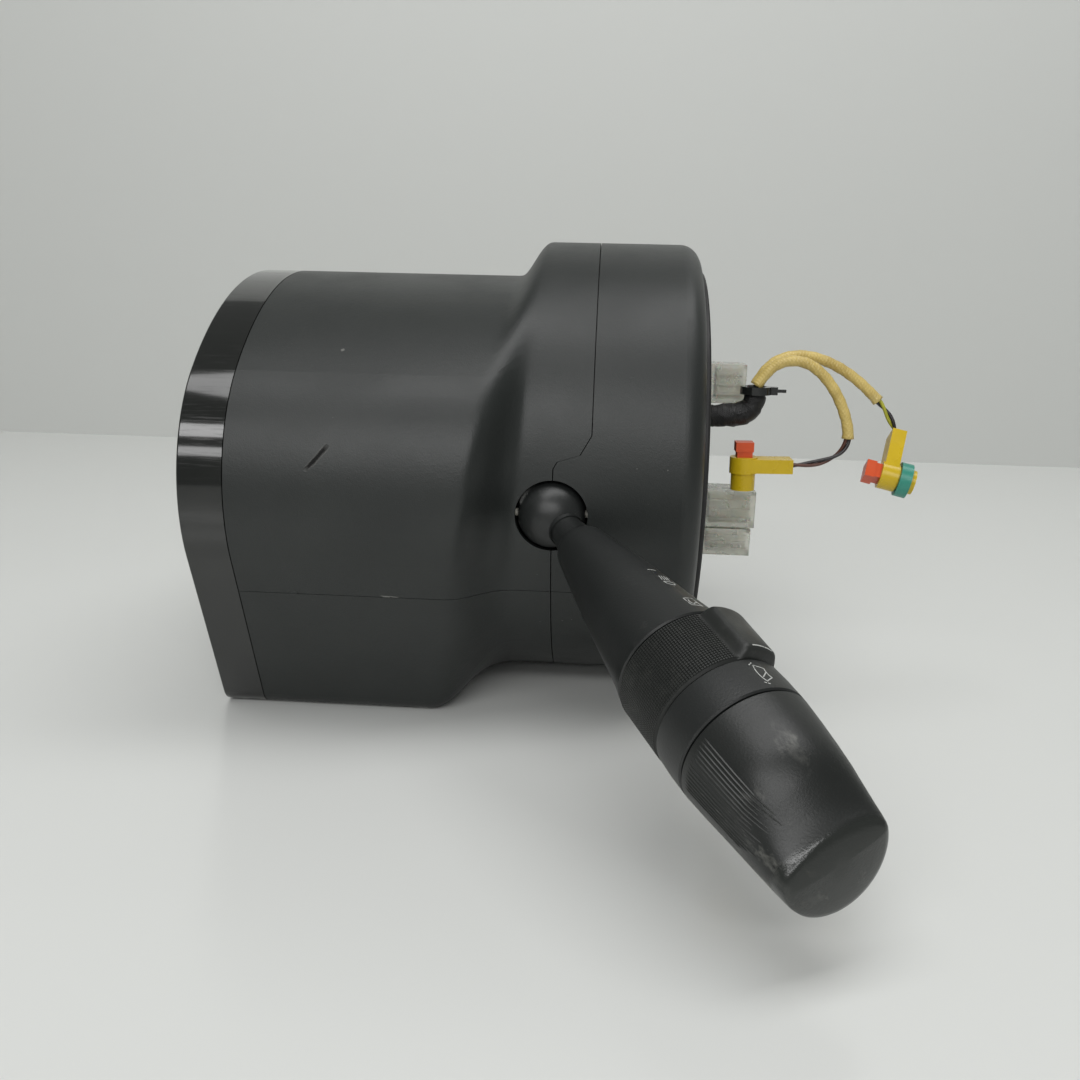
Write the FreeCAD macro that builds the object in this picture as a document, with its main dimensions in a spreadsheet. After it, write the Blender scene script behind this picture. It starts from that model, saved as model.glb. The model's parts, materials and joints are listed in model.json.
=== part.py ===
import FreeCAD, Part
import math
import os
import re
import Sketcher

# Steering column switch module with its steering angle sensor.
# The X axis is the steering column's axis and points to the driver, Z is up.
# The origin is on that axis, in the plane of the two switch stalks' pivots.

doc = FreeCAD.newDocument("column_switch_module")
sheet = doc.addObject("Spreadsheet::Sheet", "Sizes")

SIZES = {
    # Covers round the steering column
    "ring_radius": 75.0,
    "cover_wall": 2.4,
    "tunnel_depth": 106.5,
    "trim_width": 13.3,
    "tunnel_top": 63.5,
    "tunnel_half_width": 90.0,
    "shoulder_radius": 48.0,
    "shoulder_drop": 1.0,
    "belly_half_width": 62.0,
    "belly_drop": 75.5,
    "belly_corner": 7.0,
    "throat_start": 41.0,
    "throat_top_start": 17.0,
    "throat_low_start": 40.0,
    "throat_top_end": 4.5,
    "throat_low_end": 11.0,
    "throat_sections": 24.0,
    "seam_upper": 11.0,
    "seam_bend": 18.0,
    "seam_knee_out": 7.8,
    "seam_knee": 12.4,
    "seam_foot": 8.1,
    "seam_gap": 0.3,
    "split_drop": 31.0,
    "ring_front": 44.5,
    "ring_edge_round": 6.5,
    "spigot_reach": 4.0,
    "spigot_wall": 1.2,
    "spigot_fit": 0.3,
    "trim_edge_round": 0.6,
    # Screws that hold the two column covers together
    "cover_boss_radius": 4.2,
    "cover_boss_half_gap": 57.0,
    "cover_boss_rear": 76.0,
    "cover_boss_front": 48.0,
    "cover_boss_rise": 20.0,
    "cover_well_radius": 3.3,
    "cover_well_top": 41.0,
    "cover_screw_radius": 1.5,
    "cover_screw_head": 3.0,
    "cover_screw_head_height": 2.2,
    "cover_screw_length": 22.0,
    "screw_clearance": 0.15,
    # Switch base with the clamp for the column tube
    "base_plate": 3.0,
    "base_rim": 2.0,
    "base_rim_reach": 12.0,
    "base_fit": 0.3,
    "column_radius": 20.0,
    "clamp_wall": 3.5,
    "clamp_reach": 30.0,
    "clamp_slit": 3.0,
    "band_start": 26.0,
    "band_width": 10.0,
    "band_wall": 1.6,
    "band_ear_reach": 11.0,
    "band_ear_wall": 2.5,
    "band_screw_radius": 2.5,
    "band_screw_head": 4.5,
    "band_screw_head_height": 3.5,
    "window_inner": 33.5,
    "window_fit": 0.25,
    # Stalk switches, one on each side
    "pivot_out": 69.6,
    "pivot_drop": 6.0,
    "ball_radius": 10.4,
    "ball_inner": 8.9,
    "ball_rear": 2.0,
    "ball_notch": 2.9,
    "aperture_gap": 0.4,
    "case_rear": 16.0,
    "case_front": 10.0,
    "case_inner": 33.8,
    "case_outer": 59.0,
    "case_half_height": 27.0,
    "case_wall": 1.8,
    "lid_thickness": 1.5,
    "gimbal_inner": 5.6,
    "gimbal_outer": 8.3,
    "gimbal_width": 3.6,
    "gimbal_pin": 1.2,
    "running_fit": 0.05,
    "cheek_start": 11.2,
    "cheek_wall": 2.2,
    "cheek_half_height": 3.2,
    "cheek_reach": 2.0,
    "carrier_arm_half": 2.4,
    "carrier_arm_height": 3.2,
    "carrier_arm_drop": 4.8,
    "carrier_arm_inner": 48.0,
    "pivot_pin": 1.2,
    "pivot_pin_start": 2.0,
    "hub_radius": 4.4,
    "track_radius": 26.6,
    "track_half": 3.0,
    "track_height": 18.0,
    "plunger_radius": 1.1,
    "plunger_length": 7.0,
    "plunger_reach": 3.6,
    "plunger_hole": 8.0,
    "spring_wire": 0.4,
    "spring_turns": 4.0,
    "board_thickness": 1.4,
    "stem_radius": 2.6,
    "stem_length": 14.0,
    "neck_radius": 5.2,
    "shank_start": 11.0,
    "shank_flare": 3.6,
    "shank_flare_radius": 7.4,
    "shank_end": 65.6,
    "shank_half_width": 15.8,
    "shank_half_depth": 14.6,
    "grip_edge": 9.0,
    "core_radius": 6.0,
    "core_proud": 14.0,
    "knurl_start": 66.0,
    "knurl_end": 83.6,
    "knurl_radius": 16.2,
    "knurl_depth": 0.3,
    "knurl_count": 72.0,
    "tab_half": 6.5,
    "tab_height": 2.6,
    "tab_angle": 52.0,
    "collar_end": 97.6,
    "collar_half_width": 16.9,
    "collar_half_depth": 15.6,
    "cap_end": 138.6,
    "cap_tip_half_width": 13.6,
    "cap_tip_half_depth": 12.2,
    "cap_dome": 3.0,
    "stalk_gap": 0.4,
    "wiper_rake": 29.0,
    "wiper_droop": 17.75,
    "light_rake": 22.0,
    "light_droop": 8.0,
    # Steering angle sensor with its gear train
    "sensor_rear": 5.0,
    "sensor_front": 17.0,
    "sensor_wall": 1.5,
    "sensor_lid": 1.4,
    "sensor_round": 33.2,
    "sensor_lobe_half": 33.6,
    "sensor_lobe_top": 56.0,
    "gear_module": 1.0,
    "main_teeth": 60.0,
    "pinion_a_teeth": 24.0,
    "pinion_b_teeth": 26.0,
    "gear_backlash": 0.12,
    "gear_start": 8.0,
    "gear_width": 4.0,
    "pinion_angle": 24.0,
    "pinion_pin": 2.0,
    "magnet_radius": 3.0,
    "magnet_height": 1.6,
    "sensor_foot": 3.0,
    "sensor_foot_place": 29.5,
    "sensor_board_start": 14.2,
    "sensor_board_thickness": 1.3,
    "hub_height": 1.8,
    "key_width": 3.0,
    "key_height": 1.2,
    # Clock spring: fixed housing, ribbon and turning rotor
    "housing_rear": 19.5,
    "housing_front": 41.6,
    "housing_radius": 60.0,
    "housing_wall": 2.0,
    "hub_wall": 3.0,
    "leg_radius": 3.6,
    "leg_screw_radius": 1.4,
    "leg_screw_head": 3.0,
    "leg_screw_length": 14.0,
    "sleeve_inner": 18.0,
    "sleeve_outer": 20.5,
    "sleeve_rear": 1.0,
    "sleeve_proud": 1.8,
    "sleeve_flange": 1.5,
    "cam_radius": 25.0,
    "cam_width": 3.0,
    "face_x": 46.2,
    "face_radius": 66.2,
    "face_thickness": 2.6,
    "face_gap": 1.2,
    "face_skirt": 1.2,
    "rotor_wall_radius": 27.5,
    "rotor_wall": 2.0,
    "rotor_wall_start": 24.0,
    "ribbon_width": 18.0,
    "ribbon_inner": 45.8,
    "ribbon_pitch": 1.7,
    "ribbon_thickness": 0.5,
    "ribbon_turns": 7.0,
    # Sockets on the rotor's face
    "socket_wall": 1.3,
    "socket_floor": 4.0,
    "socket_rib": 0.8,
    "airbag_socket_reach": 13.5,
    "horn_socket_reach": 19.0,
    "heater_socket_reach": 18.0,
    # Leads to the airbag's igniters
    "boot_radius": 3.3,
    "lead_radius": 1.8,
    "wire_radius": 1.1,
    "tie_height": 1.6,
    "tie_width": 2.5,
    "plug_barrel_radius": 3.8,
    "plug_barrel_drop": 8.0,
    "plug_reach": 15.0,
    "plug_arm_height": 4.4,
    "plug_arm_half": 4.0,
    "lock_half": 2.4,
    "lock_fit": 0.1,
    "lock_travel": 1.6,
    "lock_cap": 3.0,
}


def fill_sheet():
    for row, (name, value) in enumerate(SIZES.items(), start=1):
        sheet.set("A%d" % row, name)
        sheet.set("B%d" % row, str(value))
        sheet.setAlias("B%d" % row, name)
    doc.recompute()


fill_sheet()
WORD = re.compile(r"\b[a-z][a-z0-9_]*\b(?!\()")
PARTS = {}


def size(name):
    return float(sheet.get(name))


def formula(text):
    return WORD.sub(lambda word: "Sizes." + word.group(0), text)


def bind(item, path, text):
    item.setExpression(path, formula(text))


def keep(item, name):
    """A finished sub-part: its label is the name of its node."""
    item.Label = name
    PARTS[name] = item
    return item


def vector(x, y, z):
    return FreeCAD.Vector(x, y, z)


# Sketches: every corner is held by two signed distances from the sketch's origin


def new_body(name):
    return doc.addObject("PartDesign::Body", name + "_body")


def plane(body, role):
    return next(item for item in body.Origin.OriginFeatures if item.Role == role)


def sketch_on(body, role, name, start="0"):
    sketch = body.newObject("Sketcher::SketchObject", name)
    sketch.AttachmentSupport = [(plane(body, role), "")]
    sketch.MapMode = "FlatFace"
    bind(sketch, "AttachmentOffset.Base.z", start)
    return sketch


def pin(sketch, edge, vertex, across, up):
    """Two signed distances, which start from where the point has been drawn."""
    drawn = sketch.getPoint(edge, vertex)
    for kind, text, start in (("DistanceX", across, drawn.x), ("DistanceY", up, drawn.y)):
        index = sketch.addConstraint(Sketcher.Constraint(kind, -1, 1, edge, vertex, start))
        bind(sketch, "Constraints[%d]" % index, text)


def outline(sketch, points):
    first = sketch.GeometryCount
    count = len(points)
    rough = [
        vector(10 * math.cos(2 * math.pi * k / count), 10 * math.sin(2 * math.pi * k / count), 0)
        for k in range(count)
    ]
    for k in range(count):
        sketch.addGeometry(Part.LineSegment(rough[k], rough[(k + 1) % count]), False)
    for k in range(count):
        following = first + (k + 1) % count
        sketch.addConstraint(Sketcher.Constraint("Coincident", first + k, 2, following, 1))
    for k, (across, up) in enumerate(points):
        pin(sketch, first + k, 1, across, up)


def rectangle(sketch, left, right, low, high):
    outline(sketch, [(left, low), (right, low), (right, high), (left, high)])


def disc(sketch, across, up, radius):
    edge = sketch.addGeometry(Part.Circle(vector(0, 0, 0), vector(0, 0, 1), 5.0), False)
    pin(sketch, edge, 3, across, up)
    index = sketch.addConstraint(Sketcher.Constraint("Radius", edge, 5.0))
    bind(sketch, "Constraints[%d]" % index, radius)


# Features


def slab(body, name, role, start, length, draw, cut=False):
    """A pad, or a pocket, that runs from start along the plane's normal."""
    sketch = sketch_on(body, role, name + "_outline", start)
    draw(sketch)
    kind = "PartDesign::Pocket" if cut else "PartDesign::Pad"
    feature = body.newObject(kind, name)
    feature.Profile = sketch
    bind(feature, "Length", length)
    feature.Reversed = cut
    return feature


def through(body, name, role, draw):
    """A pocket right through the sub-part, both ways from the plane."""
    sketch = sketch_on(body, role, name + "_outline")
    draw(sketch)
    feature = body.newObject("PartDesign::Pocket", name)
    feature.Profile = sketch
    feature.Type = "ThroughAll"
    feature.SideType = "Symmetric"
    return feature


def turned(body, name, points, cut=False):
    """A full turn about the X axis of an outline given as (along, radius)."""
    sketch = sketch_on(body, "XZ_Plane", name + "_outline")
    outline(sketch, points)
    feature = body.newObject("PartDesign::Groove" if cut else "PartDesign::Revolution", name)
    feature.Profile = sketch
    feature.ReferenceAxis = (sketch, ["H_Axis"])
    feature.Angle = 360.0
    return feature


def round_edges(body, name, radius, wanted, kind="Fillet"):
    doc.recompute()
    base = body.Tip
    edges = ["Edge%d" % k for k, edge in enumerate(base.Shape.Edges, start=1) if wanted(edge)]
    feature = body.newObject("PartDesign::" + kind, name)
    feature.Base = (base, edges)
    bind(feature, "Radius" if kind == "Fillet" else "Size", radius)
    return feature


def lies_at(axis, place):
    """Picks the edges that lie in the plane at place along the axis."""

    def wanted(edge):
        box = edge.BoundBox
        low = getattr(box, axis + "Min")
        high = getattr(box, axis + "Max")
        return abs(low - place) < 1e-4 and abs(high - place) < 1e-4

    return wanted


# Column covers


def crown_radius():
    """Radius of the tunnel's crown, which both shoulder arcs touch smoothly."""
    across = size("tunnel_half_width") - size("shoulder_radius")
    down = -size("shoulder_drop") - size("tunnel_top")
    shoulder = size("shoulder_radius")
    return (shoulder ** 2 - across ** 2 - down ** 2) / (2 * (down + shoulder))


def arch(sketch, *insets):
    """The tunnel's section: flat belly with round corners, leaning sides, round
    shoulders and a low crown; insets name the sizes that it lies inside by."""
    inset = " + ".join(insets) or "0"
    depth = sum(size(name) for name in insets)
    axis = vector(0, 0, 1)
    shoulder = size("shoulder_radius") - depth
    centre = vector(size("tunnel_half_width") - size("shoulder_radius"), -size("shoulder_drop"), 0)
    corner = vector(size("belly_half_width") - depth, depth - size("belly_drop"), 0)
    crown = crown_radius() - depth
    crown_centre = vector(0, size("tunnel_top") - crown_radius(), 0)
    reach = corner - centre
    side_angle = math.atan2(reach.y, reach.x) + math.acos(shoulder / reach.Length)
    joint = centre - crown_centre
    crown_angle = math.atan2(joint.y, joint.x)
    side_end = centre + vector(shoulder * math.cos(side_angle), shoulder * math.sin(side_angle), 0)
    bend = size("belly_corner") - depth
    along_side = (side_end - corner).normalize()
    half_bend = along_side.getAngle(vector(-1, 0, 0)) / 2
    run = bend / math.tan(half_bend)
    low_end = corner + vector(-run, 0, 0)
    low_centre = low_end + vector(0, bend, 0)

    def mirrored(point):
        return vector(-point.x, point.y, 0)

    left_circle = Part.Circle(mirrored(centre), axis, shoulder)
    shapes = [
        Part.LineSegment(mirrored(low_end), low_end),
        Part.ArcOfCircle(Part.Circle(low_centre, axis, bend), -math.pi / 2, side_angle),
        Part.LineSegment(corner + along_side * run, side_end),
        Part.ArcOfCircle(Part.Circle(centre, axis, shoulder), side_angle, crown_angle),
        Part.ArcOfCircle(Part.Circle(crown_centre, axis, crown), crown_angle, math.pi - crown_angle),
        Part.ArcOfCircle(left_circle, math.pi - crown_angle, math.pi - side_angle),
        Part.LineSegment(mirrored(side_end), mirrored(corner + along_side * run)),
        Part.ArcOfCircle(Part.Circle(mirrored(low_centre), axis, bend),
                         math.pi - side_angle, math.pi * 3 / 2),
    ]
    for shape in shapes:
        sketch.addGeometry(shape, False)
    for before in range(8):
        sketch.addConstraint(Sketcher.Constraint("Tangent", before, 2, (before + 1) % 8, 1))
    half = "belly_half_width - (%s)" % inset
    for sign, side in (("", 2), ("-", 6)):
        flip = -1 if sign else 1
        point = sketch.addGeometry(Part.Point(vector(flip * corner.x, corner.y, 0)), True)
        pin(sketch, point, 1, sign + "(%s)" % half, inset + " - belly_drop")
        sketch.addConstraint(Sketcher.Constraint("PointOnObject", point, 1, side))
        sketch.addConstraint(Sketcher.Constraint("PointOnObject", point, 1, 0))
    pin(sketch, 3, 3, "tunnel_half_width - shoulder_radius", "-shoulder_drop")
    pin(sketch, 5, 3, "shoulder_radius - tunnel_half_width", "-shoulder_drop")
    for edge, radius in ((3, shoulder), (5, shoulder), (1, bend), (7, bend)):
        index = sketch.addConstraint(Sketcher.Constraint("Radius", edge, radius))
        name = "shoulder_radius" if edge in (3, 5) else "belly_corner"
        bind(sketch, "Constraints[%d]" % index, "%s - (%s)" % (name, inset))
    top = sketch.addGeometry(Part.Point(vector(0, crown_centre.y + crown, 0)), True)
    pin(sketch, top, 1, "0", "tunnel_top - (%s)" % inset)
    sketch.addConstraint(Sketcher.Constraint("PointOnObject", top, 1, 4))


def smooth_step(share):
    """Rises from 0 to 1 with no bend at either end."""
    share = min(1.0, max(0.0, share))
    return share ** 3 * (10 - 15 * share + 6 * share ** 2)


def throat(edges, radius):
    """The form between the tunnel's section and the ring's circle. The change leans:
    at the top it is short and near the ring, at the belly long and further back."""
    total = sum(edge.Length for edge in edges)
    start = -size("throat_start")
    end = -size("throat_top_end")
    top = size("tunnel_top")
    count = int(size("throat_sections"))
    walked = -edges[0].Length / 2
    rows = [[] for _ in range(count + 1)]
    for edge in edges:
        steps = 4 + int(edge.Length / 12)
        for row in rows:
            row.append([])
        for k in range(steps + 1):
            spot = edge.valueAt(edge.FirstParameter + (edge.LastParameter - edge.FirstParameter) * k / steps)
            turn = 2 * math.pi * (walked + edge.Length * k / steps) / total - math.pi / 2
            round_y = radius * math.cos(turn)
            round_z = radius * math.sin(turn)
            low = (top - spot.y) / (top + size("belly_drop"))
            change_start = size("throat_top_start") * (1 - low) + size("throat_low_start") * low
            change_end = size("throat_top_end") * (1 - low) + size("throat_low_end") * low
            for level, row in enumerate(rows):
                along = start + (end - start) * level / count
                blend = smooth_step((along + change_start) / (change_start - change_end))
                row[-1].append(vector(along, spot.x + (round_y - spot.x) * blend,
                                      spot.y + (round_z - spot.y) * blend))
        walked += edge.Length
    wires = []
    for row in rows:
        curves = []
        for points in row:
            curve = Part.BSplineCurve()
            curve.interpolate(points)
            curves.append(curve.toShape())
        wires.append(Part.Wire(curves))
    flush = []
    for edge in edges:
        met = edge.copy()
        met.Placement = FreeCAD.Placement(vector(start, 0, 0), FreeCAD.Rotation(vector(1, 1, 1), 120))
        flush.append(met)
    wires[0] = Part.Wire(flush)
    wires[-1] = Part.Wire([Part.Arc(points[0], points[len(points) // 2], points[-1]).toShape()
                           for points in rows[-1]])
    return Part.makeLoft(wires, True, False)


def throat_shell():
    """Hollow throat, made once from the tunnel's two sections."""
    forms = []
    for name, insets, radius in (("outer", (), size("ring_radius")),
                                 ("inner", ("cover_wall",), size("ring_radius") - size("cover_wall"))):
        holder = doc.addObject("Sketcher::SketchObject", "throat_" + name + "_section")
        arch(holder, *insets)
        doc.recompute()
        forms.append(throat([curve.toShape() for curve in holder.Geometry[:8]], radius))
    return forms[0].cut(forms[1])


def cover_shell(body, throat_form):
    """The hollow form that the two column covers are split from."""
    base = doc.addObject("Part::Feature", body.Name + "_throat")
    base.Shape = throat_form
    body.BaseFeature = base
    rear = "trim_width + seam_gap - tunnel_depth"
    tunnel = "tunnel_depth - trim_width - seam_gap - throat_start"
    ring = "seam_upper + throat_top_end"
    slab(body, "tunnel", "YZ_Plane", rear, tunnel, arch)
    slab(body, "tunnel_hollow", "YZ_Plane", rear, tunnel,
         lambda sketch: arch(sketch, "cover_wall"), True)
    slab(body, "ring", "YZ_Plane", "-throat_top_end", ring,
         lambda sketch: (disc(sketch, "0", "0", "ring_radius"),
                         disc(sketch, "0", "0", "ring_radius - cover_wall")))


def stalk_apertures(body):
    radius = "ball_radius + aperture_gap"
    through(body, "stalk_apertures", "XZ_Plane", lambda sketch: disc(sketch, "0", "-pivot_drop", radius))


def seam(body, name, shift, end, low, high):
    """Cuts the cover away on one side of the jogged seam beside the stalk."""
    steps = [("0", "seam_foot"), ("seam_knee_out * 0.15", "(seam_foot + seam_knee) / 2"),
             ("seam_knee_out", "seam_knee"), ("seam_upper", "seam_bend")]
    line = [("0", low)] + steps + [("seam_upper", high)]
    moved = [(along + " + " + shift, up) for along, up in line]
    through(body, name, "XZ_Plane", lambda sketch: outline(
        sketch, [(end, high), (end, low)] + moved))


def cover_boss(body, name, low, high):
    """Four screw bosses, each tied to the cover's side by a rib."""
    for place in ("rear", "front"):
        along = "-cover_boss_" + place
        for side, sign in (("near", "-"), ("far", "")):
            across = sign + "cover_boss_half_gap"
            label = "_".join((name, place, side))
            slab(body, label, "XY_Plane", low, "(%s) - (%s)" % (high, low),
                 lambda sketch: disc(sketch, along, across, "cover_boss_radius"))


def upper_column_cover(throat_form):
    body = new_body("upper_column_cover")
    cover_shell(body, throat_form)
    through(body, "lower_half_off", "XZ_Plane", lambda sketch: rectangle(
        sketch, "-2 * tunnel_depth", "tunnel_depth", "-2 * belly_drop", "-split_drop"))
    seam(body, "ring_side_off", "0", "tunnel_depth", "-2 * belly_drop", "2 * belly_drop")
    stalk_apertures(body)
    cover_boss(body, "boss", "-split_drop", "cover_boss_rise - split_drop")
    for place in ("rear", "front"):
        along = "-cover_boss_" + place
        for side, sign in (("near", "-"), ("far", "")):
            left = sign + "cover_boss_half_gap"
            right = sign + "(tunnel_half_width - cover_wall - 6)"
            slab(body, "rib_%s_%s" % (place, side), "XY_Plane", "-split_drop", "cover_boss_rise",
                 lambda sketch: rectangle(sketch, along + " - 1", along + " + 1", left, right))
            slab(body, "pilot_%s_%s" % (place, side), "XY_Plane", "-split_drop", "cover_boss_rise - 4",
                 lambda sketch: disc(sketch, along, sign + "cover_boss_half_gap",
                                     "cover_screw_radius + screw_clearance"), True)
    keep(body, "upper_column_cover")


def lower_column_cover(throat_form):
    body = new_body("lower_column_cover")
    cover_shell(body, throat_form)
    through(body, "upper_half_off", "XZ_Plane", lambda sketch: rectangle(
        sketch, "-2 * tunnel_depth", "tunnel_depth", "seam_gap / 2 - split_drop - seam_gap",
        "2 * belly_drop"))
    seam(body, "ring_side_off", "0", "tunnel_depth", "-2 * belly_drop", "2 * belly_drop")
    cover_boss(body, "boss", "cover_wall / 2 - belly_drop", "-split_drop - seam_gap / 2")
    for place in ("rear", "front"):
        along = "-cover_boss_" + place
        for side, sign in (("near", "-"), ("far", "")):
            across = sign + "cover_boss_half_gap"
            slab(body, "well_%s_%s" % (place, side), "XY_Plane", "-belly_drop - 5",
                 "belly_drop + 5 - cover_well_top",
                 lambda sketch: disc(sketch, along, across, "cover_well_radius"), True)
            slab(body, "hole_%s_%s" % (place, side), "XY_Plane", "-belly_drop", "belly_drop - 20",
                 lambda sketch: disc(sketch, along, across, "cover_screw_radius + screw_clearance"), True)
    keep(body, "lower_column_cover")


def end_trim_band():
    """Glossy hoop at the dashboard end, with a spigot inside the covers."""
    body = new_body("end_trim_band")
    front = "trim_width - tunnel_depth"
    slab(body, "hoop", "YZ_Plane", "-tunnel_depth", "trim_width", arch)
    round_edges(body, "rim_round", "trim_edge_round", lies_at("X", -size("tunnel_depth")))
    slab(body, "spigot", "YZ_Plane", front, "spigot_reach",
         lambda sketch: arch(sketch, "cover_wall", "spigot_fit"))
    slab(body, "mouth", "YZ_Plane", "-tunnel_depth", "trim_width + spigot_reach",
         lambda sketch: arch(sketch, "cover_wall", "spigot_fit", "spigot_wall"), True)
    keep(body, "end_trim_band")


def front_ring(name, upper):
    body = new_body(name)
    lip = "face_radius + face_gap"
    turned(body, "ring", [
        ("0", "ring_radius"),
        ("ring_front", "ring_radius"),
        ("ring_front", lip),
        ("ring_front - cover_wall", lip),
        ("ring_front - cover_wall", "ring_radius - ring_edge_round"),
        ("ring_front - ring_edge_round", "ring_radius - cover_wall"),
        ("0", "ring_radius - cover_wall"),
    ])
    outer = size("ring_radius")
    front = lies_at("X", size("ring_front"))
    round_edges(body, "edge_round", "ring_edge_round",
                lambda edge: front(edge) and edge.BoundBox.ZMax > outer - 1e-3)
    if upper:
        through(body, "lower_half_off", "XZ_Plane", lambda sketch: rectangle(
            sketch, "-tunnel_depth", "tunnel_depth", "-2 * ring_radius", "-split_drop"))
    else:
        through(body, "upper_half_off", "XZ_Plane", lambda sketch: rectangle(
            sketch, "-tunnel_depth", "tunnel_depth", "seam_gap / 2 - split_drop - seam_gap",
            "2 * ring_radius"))
    seam(body, "tunnel_side_off", "seam_gap", "-tunnel_depth", "-2 * ring_radius", "2 * ring_radius")
    if upper:
        stalk_apertures(body)
    keep(body, name)


def cover_screws():
    tools = []
    for place in ("rear", "front"):
        for side, sign in (("near", "-"), ("far", "")):
            shaft = doc.addObject("Part::Cylinder", "cover_screw_shaft")
            bind(shaft, "Radius", "cover_screw_radius")
            bind(shaft, "Height", "cover_screw_length")
            head = doc.addObject("Part::Cone", "cover_screw_pan")
            bind(head, "Radius1", "cover_screw_head * 0.8")
            bind(head, "Radius2", "cover_screw_head")
            bind(head, "Height", "cover_screw_head_height")
            for item in (shaft, head):
                bind(item, "Placement.Base.x", "-cover_boss_" + place)
                bind(item, "Placement.Base.y", sign + "cover_boss_half_gap")
            bind(shaft, "Placement.Base.z", "-cover_well_top")
            bind(head, "Placement.Base.z", "-cover_well_top - cover_screw_head_height")
            screw = doc.addObject("Part::Fuse", "cover_screw")
            screw.Base = shaft
            screw.Tool = head
            tools.append(screw)
    group = doc.addObject("Part::Compound", "cover_screws_group")
    group.Links = tools
    keep(group, "cover_screws")


# Switch base and column clamp


LEGS = (("top", "38", "40"), ("low", "30", "-44"))


def leg_places():
    for name, across, up in LEGS:
        for side, sign in (("near", "-"), ("far", "")):
            yield name + "_" + side, sign + across, up


def switch_base():
    body = new_body("switch_base")
    outer = "ring_radius - cover_wall - base_fit"
    turned(body, "plate_and_tube", [
        ("-clamp_reach", "column_radius"),
        ("-clamp_reach", "column_radius + clamp_wall"),
        ("-base_plate", "column_radius + clamp_wall"),
        ("-base_plate", outer),
        ("base_rim_reach", outer),
        ("base_rim_reach", outer + " - base_rim"),
        ("0", outer + " - base_rim"),
        ("0", "column_radius"),
    ])
    for side, sign in (("near", "-"), ("far", "")):
        slab(body, "switch_window_" + side, "YZ_Plane", "-case_rear", "case_rear + 2 * base_rim_reach",
             lambda sketch: rectangle(
                 sketch, sign + "window_inner", sign + "ring_radius",
                 "-pivot_drop - case_half_height - window_fit",
                 "case_half_height - pivot_drop + window_fit"), True)
    slab(body, "clamp_slit", "YZ_Plane", "-clamp_reach", "clamp_reach - base_plate",
         lambda sketch: rectangle(sketch, "-clamp_slit / 2", "clamp_slit / 2",
                                  "-column_radius - 2 * clamp_wall", "0"), True)
    for name, across, up in leg_places():
        slab(body, "leg_hole_" + name, "YZ_Plane", "-base_plate", "base_plate",
             lambda sketch: disc(sketch, across, up, "leg_screw_radius + screw_clearance"), True)
    slab(body, "socket_shell", "YZ_Plane", "-base_plate - 15", "15",
         lambda sketch: rectangle(sketch, "-17", "17", "-58", "-44"))
    slab(body, "socket_mouth", "YZ_Plane", "-base_plate - 15", "13.5",
         lambda sketch: rectangle(sketch, "-17 + socket_wall", "17 - socket_wall",
                                  "-58 + socket_wall", "-44 - socket_wall"), True)
    keep(body, "switch_base")


def clamp_band():
    body = new_body("clamp_band")
    inner = "column_radius + clamp_wall"
    slab(body, "hoop", "YZ_Plane", "-band_start", "band_width",
         lambda sketch: disc(sketch, "0", "0", inner + " + band_wall"))
    slab(body, "ears", "YZ_Plane", "-band_start", "band_width",
         lambda sketch: rectangle(
             sketch, "-clamp_slit / 2 - band_ear_wall", "clamp_slit / 2 + band_ear_wall",
             "-%s - band_ear_reach" % inner.replace("+", "-"), "-column_radius"))
    slab(body, "inside", "YZ_Plane", "-band_start", "band_width",
         lambda sketch: disc(sketch, "0", "0", inner), True)
    slab(body, "ear_gap", "YZ_Plane", "-band_start", "band_width",
         lambda sketch: rectangle(sketch, "-clamp_slit / 2", "clamp_slit / 2",
                                  "-3 * column_radius", "-column_radius"), True)
    through(body, "ear_hole", "XZ_Plane", lambda sketch: disc(
        sketch, "band_width / 2 - band_start", BAND_SCREW_UP, "band_screw_radius + screw_clearance"))
    keep(body, "clamp_band")


BAND_SCREW_UP = "-column_radius - clamp_wall - band_wall - band_ear_reach / 2"


def clamp_screw():
    body = new_body("clamp_screw")
    centre = "band_width / 2 - band_start"
    ear = "clamp_slit / 2 + band_ear_wall"
    slab(body, "shaft", "XZ_Plane", "-%s - 5" % ear.replace("+", "-"), "2 * (%s) + 6" % ear,
         lambda sketch: disc(sketch, centre, BAND_SCREW_UP, "band_screw_radius"))
    slab(body, "head", "XZ_Plane", ear, "band_screw_head_height",
         lambda sketch: disc(sketch, centre, BAND_SCREW_UP, "band_screw_head"))
    slab(body, "hex_recess", "XZ_Plane", ear + " + 1.2", "band_screw_head_height",
         lambda sketch: outline(sketch, [
             ("%s + %.3f" % (centre, 2.3 * math.cos(math.radians(60 * k))),
              "%s + %.3f" % (BAND_SCREW_UP, 2.3 * math.sin(math.radians(60 * k)))) for k in range(6)]),
         True)
    keep(body, "clamp_screw")


# Stalk switches


def stalk_frame(side, rake, droop):
    """Placement that turns local X along the stalk, from the pivot ball's centre."""
    lean = math.radians(size(rake))
    fall = math.radians(size(droop))
    along = vector(math.sin(lean) * math.cos(fall), side * math.cos(lean) * math.cos(fall), -math.sin(fall))
    turn = FreeCAD.Rotation(along, vector(0, 0, 0), vector(0, 0, 1), "XZY")
    return FreeCAD.Placement(vector(0, side * size("pivot_out"), -size("pivot_drop")), turn)


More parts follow.
